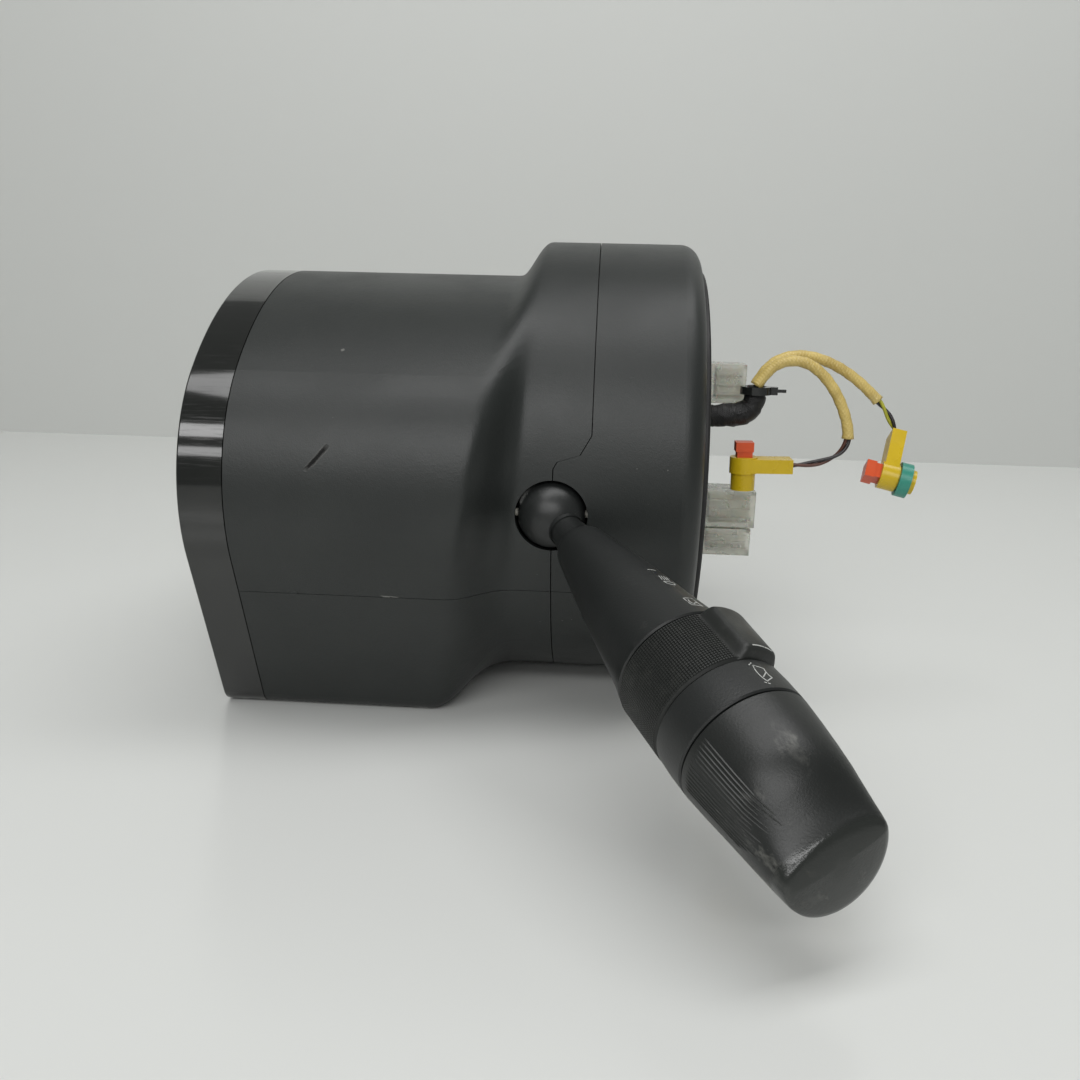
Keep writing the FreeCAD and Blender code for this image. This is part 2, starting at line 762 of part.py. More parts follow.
def switch_case(name, sign):
    body = new_body(name)
    low = "-pivot_drop - case_half_height"
    high = "case_half_height - pivot_drop"
    slab(body, "block", "YZ_Plane", "-case_rear", "case_rear + case_front - lid_thickness",
         lambda sketch: rectangle(sketch, sign + "case_inner", sign + "case_outer", low, high))
    slab(body, "flange", "YZ_Plane", "-cheek_start - cheek_wall", "2 * (cheek_start + cheek_wall)",
         lambda sketch: rectangle(sketch, sign + "(case_outer - case_wall)", sign + "case_outer",
                                  "-pivot_drop - 2 * cheek_half_height",
                                  "2 * cheek_half_height - pivot_drop"))
    for end, start in (("rear", "-cheek_start - cheek_wall"), ("front", "cheek_start")):
        slab(body, "cheek_" + end, "YZ_Plane", start, "cheek_wall",
             lambda sketch: rectangle(sketch, sign + "(case_outer - case_wall)",
                                      sign + "(pivot_out + cheek_reach)",
                                      "-pivot_drop - cheek_half_height",
                                      "cheek_half_height - pivot_drop"))
    slab(body, "hollow", "YZ_Plane", "case_wall - case_rear", "case_rear + case_front",
         lambda sketch: rectangle(sketch, sign + "(case_inner + case_wall)",
                                  sign + "(case_outer - case_wall)",
                                  low + " + case_wall", high + " - case_wall"), True)
    slab(body, "stem_window", "YZ_Plane", "0.6 - cheek_start", "cheek_start + carrier_arm_half + 1",
         lambda sketch: rectangle(sketch, sign + "(case_outer - 2 * case_wall)",
                                  sign + "(case_outer + case_wall)",
                                  low + " + case_wall", "cheek_half_height + 5 - pivot_drop"), True)
    through(body, "trunnion_bores", "YZ_Plane", lambda sketch: disc(
        sketch, sign + "pivot_out", "-pivot_drop", "gimbal_pin + running_fit"))
    slab(body, "detent_track", "YZ_Plane", "-track_half", "2 * track_half",
         lambda sketch: track_outline(sketch, sign))
    return keep(body, name)


def track_outline(sketch, sign):
    """Block in the case whose free side is an arc round the pivot."""
    side = -1 if sign == "-" else 1
    centre = vector(side * size("pivot_out"), -size("pivot_drop"), 0)
    radius = size("track_radius")
    fall = math.asin(size("track_height") / radius)
    wall = side * (size("case_inner") + size("case_wall") / 2)
    level = centre - vector(side * radius, 0, 0)
    low = centre - vector(side * radius * math.cos(fall), size("track_height"), 0)
    start, end = (math.pi, math.pi + fall) if side > 0 else (-fall, 0.0)
    arc = Part.ArcOfCircle(Part.Circle(centre, vector(0, 0, 1), radius), start, end)
    first, last = (level, low) if side > 0 else (low, level)
    sketch.addGeometry(arc, False)
    corners = [last, vector(wall, last.y, 0), vector(wall, first.y, 0), first]
    for before, after in zip(corners, corners[1:]):
        sketch.addGeometry(Part.LineSegment(before, after), False)
    for k in range(4):
        sketch.addConstraint(Sketcher.Constraint("Coincident", k, 2, (k + 1) % 4, 1))
    sketch.addConstraint(Sketcher.Constraint("Horizontal", 1))
    sketch.addConstraint(Sketcher.Constraint("Horizontal", 3))
    pin(sketch, 0, 3, sign + "pivot_out", "-pivot_drop")
    index = sketch.addConstraint(Sketcher.Constraint("Radius", 0, radius))
    bind(sketch, "Constraints[%d]" % index, "track_radius")
    edge = sign + "(case_inner + case_wall / 2)"
    pin(sketch, 2, 1, edge, "-pivot_drop - track_height" if side > 0 else "-pivot_drop")
    pin(sketch, 2, 2, edge, "-pivot_drop" if side > 0 else "-pivot_drop - track_height")


def switch_lid(name, sign):
    body = new_body(name)
    slab(body, "plate", "YZ_Plane", "case_front - lid_thickness", "lid_thickness",
         lambda sketch: rectangle(sketch, sign + "case_inner",
                                  sign + "(case_outer - case_wall - 0.1)",
                                  "-pivot_drop - case_half_height", "case_half_height - pivot_drop"))
    slab(body, "rib", "YZ_Plane", "case_front", "1",
         lambda sketch: rectangle(sketch, sign + "(case_inner + 6)", sign + "(case_outer - 8)",
                                  "-pivot_drop - 1.5", "1.5 - pivot_drop"))
    return keep(body, name)


def contact_board(name, sign):
    body = new_body(name)
    slab(body, "board", "YZ_Plane", "case_wall - case_rear", "board_thickness",
         lambda sketch: rectangle(sketch, sign + "(case_inner + case_wall + 0.1)",
                                  sign + "(case_outer - case_wall - 2)",
                                  "-pivot_drop - case_half_height + case_wall + 0.1",
                                  "case_half_height - pivot_drop - case_wall - 0.1"))
    return keep(body, name)


def switch_carrier(name, sign):
    """Small gimbal ring inside the ball, with trunnions, pivot pins and the detent arm."""
    body = new_body(name)
    face = "pivot_out - gimbal_width / 2" if sign == "-" else "-pivot_out - gimbal_width / 2"
    slab(body, "ring", "XZ_Plane", face, "gimbal_width",
         lambda sketch: disc(sketch, "0", "-pivot_drop", "gimbal_outer"))
    slab(body, "detent_arm", "YZ_Plane", "-carrier_arm_half", "2 * carrier_arm_half",
         lambda sketch: rectangle(sketch, sign + "carrier_arm_inner", sign + "pivot_out",
                                  "-pivot_drop - carrier_arm_drop - carrier_arm_height",
                                  "-pivot_drop - carrier_arm_drop"))
    slab(body, "opening", "XZ_Plane", face, "gimbal_width",
         lambda sketch: disc(sketch, "0", "-pivot_drop", "gimbal_inner"), True)
    trunnion = "cheek_start + cheek_wall - gimbal_inner - 0.3"
    for end, begin in (("front", "gimbal_inner + 0.3"), ("rear", "-cheek_start - cheek_wall")):
        slab(body, "trunnion_" + end, "YZ_Plane", begin, trunnion,
             lambda sketch: disc(sketch, sign + "pivot_out", "-pivot_drop", "gimbal_pin"))
    for end, begin in (("upper", "pivot_pin_start - pivot_drop"),
                       ("lower", "0.3 - gimbal_outer - pivot_drop")):
        slab(body, "pivot_pin_" + end, "XY_Plane", begin, "gimbal_outer - pivot_pin_start - 0.3",
             lambda sketch: disc(sketch, "0", sign + "pivot_out", "pivot_pin"))
    hole = "carrier_arm_inner" if sign == "-" else "-carrier_arm_inner - plunger_hole"
    slab(body, "plunger_hole", "XZ_Plane", hole, "plunger_hole",
         lambda sketch: disc(sketch, "0", PLUNGER_UP, "plunger_radius + running_fit"), True)
    return keep(body, name)


PLUNGER_UP = "-pivot_drop - carrier_arm_drop - carrier_arm_height / 2"


def detent_plunger(name, sign):
    body = new_body(name)
    out = "carrier_arm_inner - plunger_reach"
    start = out if sign == "-" else "-(%s) - plunger_length" % out
    slab(body, "pin", "XZ_Plane", start, "plunger_length",
         lambda sketch: disc(sketch, "0", PLUNGER_UP, "plunger_radius"))
    tip = size("carrier_arm_inner") - size("plunger_reach")
    tip = -tip if sign == "-" else tip
    round_edges(body, "tip", "plunger_radius * 0.6", lies_at("Y", tip))
    return keep(body, name)


def detent_spring(name, side):
    """Coil spring of square wire behind the plunger, bent from short straight runs."""
    half = size("spring_wire") / 2
    coil = size("plunger_radius") - half - size("running_fit")
    back = size("plunger_length") - size("plunger_reach")
    length = size("plunger_hole") - back - 2 * half - 0.1
    steps = int(10 * size("spring_turns"))
    points = []
    for k in range(steps + 1):
        angle = 2 * math.pi * k / 10
        points.append(vector(coil * math.cos(angle), coil * math.sin(angle), length * k / steps))
    run = (points[1] - points[0]).normalize()
    rise = run.cross(vector(1, 0, 0)).normalize()
    outward = rise.cross(run).normalize()
    corners = [(-1, -1), (-1, 1), (1, 1), (1, -1), (-1, -1)]
    section = [points[0] + outward * (half * a) + rise * (half * b) for a, b in corners]
    feature = doc.addObject("Part::Feature", name + "_coil")
    feature.Shape = Part.makePolygon(points).makePipeShell([Part.makePolygon(section)], True, False, 1)
    up = -size("pivot_drop") - size("carrier_arm_drop") - size("carrier_arm_height") / 2
    out = size("carrier_arm_inner") + back + half + 0.05
    turn = FreeCAD.Rotation(vector(1, 0, 0), -90 * side)
    feature.Placement = FreeCAD.Placement(vector(0, side * out, up), turn)
    return keep(feature, name)


def lens_section(along, half_width, half_depth, edge_radius):
    """Closed wire across the stalk: two flat arcs that run into two narrow ones."""
    reach = half_width - edge_radius
    rise = half_depth - edge_radius
    drop = (reach ** 2 - rise ** 2) / (2 * rise)
    turn = math.atan2(drop, reach)
    tangent = vector(along, reach + edge_radius * math.cos(turn), edge_radius * math.sin(turn))

    def spot(across, up):
        return vector(along, across, up)

    corners = [spot(tangent.y, -tangent.z), spot(half_width, 0), spot(tangent.y, tangent.z),
               spot(0, half_depth), spot(-tangent.y, tangent.z), spot(-half_width, 0),
               spot(-tangent.y, -tangent.z), spot(0, -half_depth), spot(tangent.y, -tangent.z)]
    arcs = [Part.Arc(*corners[k:k + 3]).toShape() for k in (0, 2, 4, 6)]
    return Part.Wire(arcs)


def lofted(name, stations):
    feature = doc.addObject("Part::Feature", name)
    feature.Shape = Part.makeLoft([lens_section(*station) for station in stations], True, True)
    return feature


def fused(name, items):
    feature = doc.addObject("Part::MultiFuse", name)
    feature.Shapes = items
    return feature


def cut(name, base, tool):
    feature = doc.addObject("Part::Cut", name)
    feature.Base = base
    feature.Tool = tool
    return feature


def cylinder(name, radius, height, place, turn=None):
    feature = doc.addObject("Part::Cylinder", name)
    bind(feature, "Radius", radius)
    bind(feature, "Height", height)
    if turn:
        feature.Placement = FreeCAD.Placement(vector(0, 0, 0), turn)
    for axis, text in zip("xyz", place):
        bind(feature, "Placement.Base." + axis, text)
    return feature


def box(name, corner, sides):
    feature = doc.addObject("Part::Box", name)
    for path, text in zip(("Length", "Width", "Height"), sides):
        bind(feature, path, text)
    for axis, text in zip("xyz", corner):
        bind(feature, "Placement.Base." + axis, text)
    return feature


def ball(name, sign, radius):
    feature = doc.addObject("Part::Sphere", name)
    bind(feature, "Radius", radius)
    bind(feature, "Placement.Base.y", sign + "pivot_out")
    bind(feature, "Placement.Base.z", "-pivot_drop")
    return feature


def stalk_lever(name, sign, frame):
    """Hollow ball shell, hub, stem, tapering shank and the core that the rings turn on."""
    around = "2 * ball_radius"
    if sign == "-":
        rear_side = "ball_rear - pivot_out"
        notch_side = "-ball_notch - pivot_out"
    else:
        rear_side = "pivot_out - ball_rear - 2 * ball_radius"
        notch_side = "pivot_out + ball_notch - 2 * ball_radius"
    rear = box(name + "_rear_off", ("-ball_radius", rear_side, "-pivot_drop - ball_radius"),
               (around, around, around))
    notch = box(name + "_notch", ("-ball_radius", notch_side, "-pivot_drop - 1.5 * gimbal_pin"),
                (around, around, "3 * gimbal_pin"))
    shell = cut(name + "_shell", ball(name + "_ball", sign, "ball_radius"),
                fused(name + "_shell_off", [ball(name + "_hollow", sign, "ball_inner"), rear, notch]))
    rod = new_body(name + "_rod")
    turned(rod, "rod", [
        ("-stem_length", "0"),
        ("-stem_length", "stem_radius"),
        ("ball_inner + 0.5", "stem_radius"),
        ("ball_inner + 0.5", "neck_radius"),
        ("shank_start + 10", "neck_radius"),
        ("shank_start + 10", "core_radius"),
        ("collar_end + core_proud", "core_radius"),
        ("collar_end + core_proud", "0"),
    ])
    neck = size("neck_radius")
    flare = size("shank_flare_radius")
    shank = lofted(name + "_shank", [
        (size("shank_start"), neck, neck * 0.98, neck * 0.9),
        (size("shank_start") + size("shank_flare") * 0.35, (2 * neck + flare) / 3, (2 * neck + flare) / 3 * 0.98,
         neck),
        (size("shank_start") + size("shank_flare"), flare, flare * 0.98, neck),
        (size("shank_end"), size("shank_half_width"), size("shank_half_depth"), size("grip_edge")),
    ])
    arm = fused(name + "_arm", [rod, shank])
    arm.Placement = frame
    whole = fused(name + "_solid", [shell, ball(name + "_hub", sign, "hub_radius"), arm])
    holes = []
    for end, begin in (("upper", "pivot_pin_start - 0.3 - pivot_drop"),
                       ("lower", "-hub_radius - 1 - pivot_drop")):
        holes.append(cylinder(name + "_hole_" + end, "pivot_pin + running_fit",
                              "hub_radius + 1.3 - pivot_pin_start", ("0", sign + "pivot_out", begin)))
    keep(cut(name + "_cut", whole, fused(name + "_holes", holes)), name)


def polar(body, name, original, count, angle=360.0):
    pattern = body.newObject("PartDesign::PolarPattern", name)
    pattern.Originals = [original]
    pattern.Axis = (plane(body, "X_Axis"), [""])
    pattern.Angle = angle
    pattern.Occurrences = count
    body.Tip = pattern
    return pattern


def tilted(frame, degrees):
    """The stalk's frame turned about the stalk, so that local Z points to the tab."""
    return frame.multiply(FreeCAD.Placement(vector(0, 0, 0), FreeCAD.Rotation(vector(1, 0, 0), degrees)))


def knurled_ring(name, frame, side):
    """Ring with a ribbed grip and a raised thumb tab."""
    body = new_body(name)
    bore = "core_radius + running_fit"
    turned(body, "ring", [
        ("knurl_start", bore),
        ("knurl_start", "knurl_radius - 0.6"),
        ("knurl_start + 0.6", "knurl_radius"),
        ("knurl_end - 0.6", "knurl_radius"),
        ("knurl_end", "knurl_radius - 0.6"),
        ("knurl_end", bore),
    ])
    groove = slab(body, "rib_groove", "YZ_Plane", "knurl_start", "knurl_end - knurl_start",
                  lambda sketch: outline(sketch, [
                      ("-knurl_depth", "-knurl_radius - 0.1"),
                      ("knurl_depth", "-knurl_radius - 0.1"),
                      ("0", "knurl_depth - knurl_radius")]), True)
    polar(body, "ribs", groove, int(size("knurl_count")))
    slab(body, "tab", "YZ_Plane", "knurl_start", "knurl_end - knurl_start",
         lambda sketch: outline(sketch, [
             ("-tab_half", "knurl_radius * 0.85"), ("tab_half", "knurl_radius * 0.85"),
             ("tab_half * 0.7", "knurl_radius + tab_height"),
             ("-tab_half * 0.7", "knurl_radius + tab_height")]))
    body.Placement = tilted(frame, -side * size("tab_angle"))
    return keep(body, name)


def stalk_collar(name, frame):
    start = size("knurl_end") + size("stalk_gap")
    knurl = size("knurl_radius")
    collar = lofted(name + "_outside", [
        (start, knurl + 0.1, knurl, size("grip_edge")),
        (size("collar_end"), size("collar_half_width"), size("collar_half_depth"), size("grip_edge")),
    ])
    bore = cylinder(name + "_bore", "core_radius + running_fit", "collar_end",
                    ("knurl_end", "0", "0"), FreeCAD.Rotation(vector(0, 1, 0), 90))
    item = cut(name + "_cut", collar, bore)
    item.Placement = frame
    return keep(item, name)


def stalk_cap(name, frame):
    """Tapering grip with a domed end."""
    end = size("cap_end")
    dome = size("cap_dome")
    width = size("cap_tip_half_width")
    depth = size("cap_tip_half_depth")
    edge = size("grip_edge")
    stations = [(size("collar_end") + size("stalk_gap"), size("collar_half_width"),
                 size("collar_half_depth"), edge)]
    for degrees in (0, 30, 55, 75):
        shrink = dome * (1 - math.cos(math.radians(degrees)))
        stations.append((end - dome + dome * math.sin(math.radians(degrees)) * 0.95,
                         width - shrink, depth - shrink, edge - shrink))
    cap = lofted(name + "_outside", stations)
    bore = cylinder(name + "_bore", "core_radius + running_fit", "core_proud + stalk_gap",
                    ("collar_end", "0", "0"), FreeCAD.Rotation(vector(0, 1, 0), 90))
    item = cut(name + "_cut", cap, bore)
    item.Placement = frame
    return keep(item, name)


# Steering angle sensor


def toothed_wheel(teeth, module, width, backlash):
    """Spur wheel along +X with a tooth centred on +Y: each flank is one arc that
    runs through the involute at the root, the pitch circle and the tip."""
    pitch = module * teeth / 2
    pressure = math.radians(20)
    base = pitch * math.cos(pressure)
    tip = pitch + module
    root = pitch - 1.25 * module
    half_tooth = math.pi / (2 * teeth) - backlash / (4 * pitch)

    def involute(radius):
        roll = math.sqrt(max(0.0, (radius / base) ** 2 - 1))
        return roll - math.atan(roll)

    def point(radius, angle):
        return vector(0, radius * math.cos(angle), radius * math.sin(angle))

    foot = max(base, root)
    edges = []
    for k in range(int(teeth)):
        centre = 2 * math.pi * k / teeth
        flank = [(r, half_tooth + involute(pitch) - involute(r)) for r in (foot, pitch, tip)]
        left = [point(r, centre + a) for r, a in flank]
        right = [point(r, centre - a) for r, a in flank]
        right_root = point(root, centre - flank[0][1])
        left_root = point(root, centre + flank[0][1])
        next_root = point(root, centre + 2 * math.pi / teeth - flank[0][1])
        middle = point(root, centre + math.pi / teeth)
        if foot > root:
            edges.append(Part.LineSegment(right_root, right[0]).toShape())
        edges.append(Part.Arc(*right).toShape())
        edges.append(Part.Arc(right[2], point(tip, centre), left[2]).toShape())
        edges.append(Part.Arc(*reversed(left)).toShape())
        if foot > root:
            edges.append(Part.LineSegment(left[0], left_root).toShape())
        edges.append(Part.Arc(left_root, middle, next_root).toShape())
    return Part.Face(Part.Wire(edges)).extrude(vector(width, 0, 0))


def main_gear():
    """The wheel on the rotor's sleeve, driven by its two keys."""
    wheel = toothed_wheel(size("main_teeth"), size("gear_module"), size("gear_width"),
                          size("gear_backlash"))
    feature = doc.addObject("Part::Feature", "main_gear_wheel")
    feature.Shape = wheel
    bind(feature, "Placement.Base.x", "gear_start")
    turn = FreeCAD.Rotation(vector(0, 1, 0), 90)
    bore = cylinder("main_gear_bore", "sleeve_outer + running_fit", "gear_width",
                    ("gear_start", "0", "0"), turn)
    slot = doc.addObject("Part::Box", "main_gear_key_slot")
    bind(slot, "Length", "gear_width")
    bind(slot, "Width", "key_width + 2 * running_fit")
    bind(slot, "Height", "2 * (sleeve_outer + key_height + 2 * running_fit)")
    bind(slot, "Placement.Base.x", "gear_start")
    bind(slot, "Placement.Base.y", "-key_width / 2 - running_fit")
    bind(slot, "Placement.Base.z", "-sleeve_outer - key_height - 2 * running_fit")
    keep(cut("main_gear_cut", feature, fused("main_gear_inside", [bore, slot])), "sensor_main_gear")


def pinion_centre(which):
    """Angle from +Y, and distance from the column axis, of a pinion's centre."""
    turn = -size("pinion_angle") if which == "b" else size("pinion_angle")
    teeth = size("pinion_%s_teeth" % which)
    reach = size("gear_module") * (size("main_teeth") + teeth) / 2 + size("gear_backlash")
    return math.radians(90 + turn), reach


def pinion(which):
    """Small wheel turned so that a gap meets the main wheel's nearest tooth."""
    angle, reach = pinion_centre(which)
    teeth = size("pinion_%s_teeth" % which)
    pitch_angle = 2 * math.pi / size("main_teeth")
    ahead = round(angle / pitch_angle) * pitch_angle - angle
    gap = angle + math.pi - ahead * size("main_teeth") / teeth
    turn = math.degrees(gap - math.pi / teeth)
    wheel = doc.addObject("Part::Feature", "pinion_%s_wheel" % which)
    wheel.Shape = toothed_wheel(teeth, size("gear_module"), size("gear_width"), size("gear_backlash"))
    across = FreeCAD.Rotation(vector(0, 1, 0), 90)
    hub = cylinder("pinion_%s_hub" % which, "magnet_radius + 1", "hub_height", ("gear_width", "0", "0"),
                   across)
    bore = cylinder("pinion_%s_bore" % which, "pinion_pin + running_fit",
                    "gear_width", ("0", "0", "0"), across)
    seat = cylinder("pinion_%s_seat" % which, "magnet_radius + 0.02", "magnet_height",
                    ("gear_width + hub_height - magnet_height", "0", "0"), across)
    whole = cut("pinion_%s_cut" % which, fused("pinion_%s_solid" % which, [wheel, hub]),
                fused("pinion_%s_inside" % which, [bore, seat]))
    place = vector(size("gear_start"), reach * math.cos(angle), reach * math.sin(angle))
    whole.Placement = FreeCAD.Placement(place, FreeCAD.Rotation(vector(1, 0, 0), turn))
    keep(whole, "sensor_pinion_" + which)
    magnet = cylinder("magnet_%s_disc" % which, "magnet_radius", "magnet_height",
                      ("0", "0", "0"), across)
    seat_start = size("gear_start") + size("gear_width") + size("hub_height") - size("magnet_height")
    holder = fused("magnet_%s_placed" % which, [magnet, cylinder(
        "magnet_%s_rim" % which, "magnet_radius - 0.5", "magnet_height", ("0", "0", "0"), across)])
    holder.Placement = FreeCAD.Placement(vector(seat_start, place.y, place.z), FreeCAD.Rotation())
    keep(holder, "pinion_magnet_" + which)


def sensor_outline(sketch, inset):
    """Round part and lobe as one outline: the lobe's sides run down to the axis."""
    half = "sensor_lobe_half - " + inset
    rectangle(sketch, "-(%s)" % half, half, "0", "sensor_lobe_top - " + inset)


def sensor_housing():
    body = new_body("sensor_housing")
    deep = "sensor_front - sensor_lid - sensor_rear"
    slab(body, "round", "YZ_Plane", "sensor_rear", deep,
         lambda sketch: disc(sketch, "0", "0", "sensor_round"))
    slab(body, "lobe", "YZ_Plane", "sensor_rear", deep, lambda sketch: sensor_outline(sketch, "0"))
    for name, draw in (("round_hollow", lambda sketch: disc(sketch, "0", "0", "sensor_round - sensor_wall")),
                       ("lobe_hollow", lambda sketch: sensor_outline(sketch, "sensor_wall"))):
        slab(body, name, "YZ_Plane", "sensor_rear + sensor_wall", deep, draw, True)
    slab(body, "sleeve_hole", "YZ_Plane", "sensor_rear - 1", "sensor_wall + 2",
         lambda sketch: disc(sketch, "0", "0", "sleeve_outer + 0.5"), True)
    for which in "ab":
        angle, reach = pinion_centre(which)
        across = "%.4f" % (reach * math.cos(angle))
        up = "%.4f" % (reach * math.sin(angle))
        slab(body, "boss_" + which, "YZ_Plane", "sensor_rear + sensor_wall",
             "gear_start - sensor_rear - sensor_wall - 0.1",
             lambda sketch: disc(sketch, across, up, "2 * pinion_pin"))
        slab(body, "pin_" + which, "YZ_Plane", "sensor_rear + sensor_wall",
             "gear_start + gear_width - sensor_rear - sensor_wall - 0.3",
             lambda sketch: disc(sketch, across, up, "pinion_pin"))
    for side, sign in (("near", "-"), ("far", "")):
        slab(body, "post_" + side, "YZ_Plane", "sensor_rear + sensor_wall",
             "sensor_board_start - sensor_rear - sensor_wall",
             lambda sketch: disc(sketch, sign + "(sensor_lobe_half - sensor_wall - 2.2)",
                                 "sensor_lobe_top - sensor_wall - 2.2", "1.6"))
    for k, degrees in enumerate((-90, -30, 210)):
        across = "sensor_foot_place * %.5f" % math.cos(math.radians(degrees))
        up = "sensor_foot_place * %.5f" % math.sin(math.radians(degrees))
        slab(body, "foot_%d" % k, "YZ_Plane", "0", "sensor_rear",
             lambda sketch: disc(sketch, across, up, "sensor_foot"))
    keep(body, "sensor_housing")


def sensor_lid():
    body = new_body("sensor_lid")
    start = "sensor_front - sensor_lid"
    slab(body, "round", "YZ_Plane", start, "sensor_lid", lambda sketch: disc(
        sketch, "0", "0", "sensor_round"))
    slab(body, "lobe", "YZ_Plane", start, "sensor_lid", lambda sketch: sensor_outline(sketch, "0"))
    slab(body, "sleeve_hole", "YZ_Plane", start, "sensor_lid", lambda sketch: disc(
        sketch, "0", "0", "sleeve_outer + key_height + 0.5"), True)
    keep(body, "sensor_lid")


def sensor_board():
    body = new_body("sensor_board")
    slab(body, "board", "YZ_Plane", "sensor_board_start", "sensor_board_thickness",
         lambda sketch: rectangle(
             sketch, "0.2 + sensor_wall - sensor_lobe_half", "sensor_lobe_half - sensor_wall - 0.2",
             "sleeve_outer + key_height + 2", "sensor_lobe_top - sensor_wall - 0.2"))
    keep(body, "sensor_board")


# Clock spring


def clock_spring_housing():
    body = new_body("clock_spring_housing")
    bore = "sleeve_outer + running_fit"
    inner = "housing_radius - housing_wall"
    turned(body, "cup", [
        ("housing_rear", bore),
        ("housing_rear", "housing_radius"),
        ("housing_front", "housing_radius"),
        ("housing_front", inner),
        ("housing_rear + housing_wall", inner),
        ("housing_rear + housing_wall", bore + " + hub_wall"),
        ("rotor_wall_start - 0.6", bore + " + hub_wall"),
        ("rotor_wall_start - 0.6", bore),
    ])
    for name, across, up in leg_places():
        slab(body, "leg_" + name, "YZ_Plane", "0", "housing_rear",
             lambda sketch: disc(sketch, across, up, "leg_radius"))
        slab(body, "leg_pilot_" + name, "YZ_Plane", "0", "leg_screw_length - base_plate + 1",
             lambda sketch: disc(sketch, across, up, "leg_screw_radius + screw_clearance"), True)
    keep(body, "clock_spring_housing")


def module_screws():
    across = FreeCAD.Rotation(vector(0, 1, 0), 90)
    screws = []
    for name, y, z in leg_places():
        shaft = cylinder("module_screw_shaft_" + name, "leg_screw_radius", "leg_screw_length",
                         ("-base_plate", y, z), across)
        head = cylinder("module_screw_head_" + name, "leg_screw_head", "leg_screw_head * 0.7",
                        ("-base_plate - leg_screw_head * 0.7", y, z), across)
        screws.append(fused("module_screw_" + name, [shaft, head]))
    group = doc.addObject("Part::Compound", "module_screws_group")
    group.Links = screws
    keep(group, "module_screws")


def ribbon():
    """Flat cable wound as half circles about two centres, half a pitch apart."""
    pitch = size("ribbon_pitch")
    half = size("ribbon_thickness") / 2

    def turns(offset):
        points = []
        edges = []
        radius = size("ribbon_inner") + offset
        shift = 0.0
        for k in range(int(2 * size("ribbon_turns"))):
            sign = 1 if k % 2 == 0 else -1
            start = vector(0, shift + sign * radius, 0)
            end = vector(0, shift - sign * radius, 0)
            edges.append(Part.Arc(start, vector(0, shift, sign * radius), end).toShape())
            points = points or [start]
            points.append(end)
            radius += pitch / 2
            shift += sign * pitch / 2
        return edges, points[0], points[-1]

    inner, inner_start, inner_end = turns(-half)
    outer, outer_start, outer_end = turns(half)
    edges = inner + [Part.LineSegment(inner_end, outer_end).toShape()]
    edges += outer + [Part.LineSegment(outer_start, inner_start).toShape()]
    wire = Part.Wire(Part.__sortEdges__(edges))
    feature = doc.addObject("Part::Feature", "ribbon_strip")
    feature.Shape = Part.Face(wire).extrude(vector(size("ribbon_width"), 0, 0))
    bind(feature, "Placement.Base.x", "housing_rear + housing_wall")
    keep(feature, "spiral_ribbon_cable")


def rotor_disc():
    body = new_body("rotor_disc")
    bore = "sleeve_outer + running_fit"
    back = "face_x - face_thickness"
    turned(body, "face", [
        ("face_x", bore),
        (back, bore),
        (back, "rotor_wall_radius"),
        ("rotor_wall_start", "rotor_wall_radius"),
        ("rotor_wall_start", "rotor_wall_radius + rotor_wall"),
        (back, "rotor_wall_radius + rotor_wall"),
        (back, "face_radius - 1.8"),
        (back + " - face_skirt", "face_radius - 1.8"),
        (back + " - face_skirt", "face_radius"),
        ("face_x", "face_radius"),
    ])
    radius = size("face_radius")
    front = lies_at("X", size("face_x"))
    round_edges(body, "edge_round", "face_thickness * 0.3",
                lambda edge: front(edge) and edge.BoundBox.ZMax > radius - 1e-3)
    slab(body, "face_recess", "YZ_Plane", "face_x - 0.8", "2",
         lambda sketch: (disc(sketch, "0", "0", "face_radius - 4"),
                         disc(sketch, "0", "0", "sleeve_outer + 6.5")), True)
    keep(body, "rotor_disc")


def rotor_sleeve():
    body = new_body("rotor_sleeve")
    turned(body, "tube", [
        ("sleeve_rear", "sleeve_inner"),
        ("sleeve_rear", "sleeve_outer + 2"),
        ("sleeve_rear + cam_width", "sleeve_outer + 2"),
        ("sleeve_rear + cam_width", "sleeve_outer"),
        ("face_x", "sleeve_outer"),
        ("face_x", "sleeve_outer + sleeve_flange"),
        ("face_x + sleeve_proud", "sleeve_outer + sleeve_flange"),
        ("face_x + sleeve_proud", "sleeve_inner"),
    ])
    lobe = slab(body, "cam_lobe", "YZ_Plane", "sleeve_rear", "cam_width",
                lambda sketch: outline(sketch, [
                    ("-3.5", "sleeve_outer"), ("3.5", "sleeve_outer"),
                    ("2", "cam_radius"), ("-2", "cam_radius")]))
    polar(body, "cam_lobes", lobe, 4)
    for name, low, high in (("key_top", "sleeve_outer - 1", "sleeve_outer + key_height"),
                            ("key_low", "-sleeve_outer - key_height", "1 - sleeve_outer")):
        slab(body, name, "YZ_Plane", "gear_start", "gear_width",
             lambda sketch: rectangle(sketch, "-key_width / 2", "key_width / 2", low, high))
    keep(body, "rotor_sleeve")


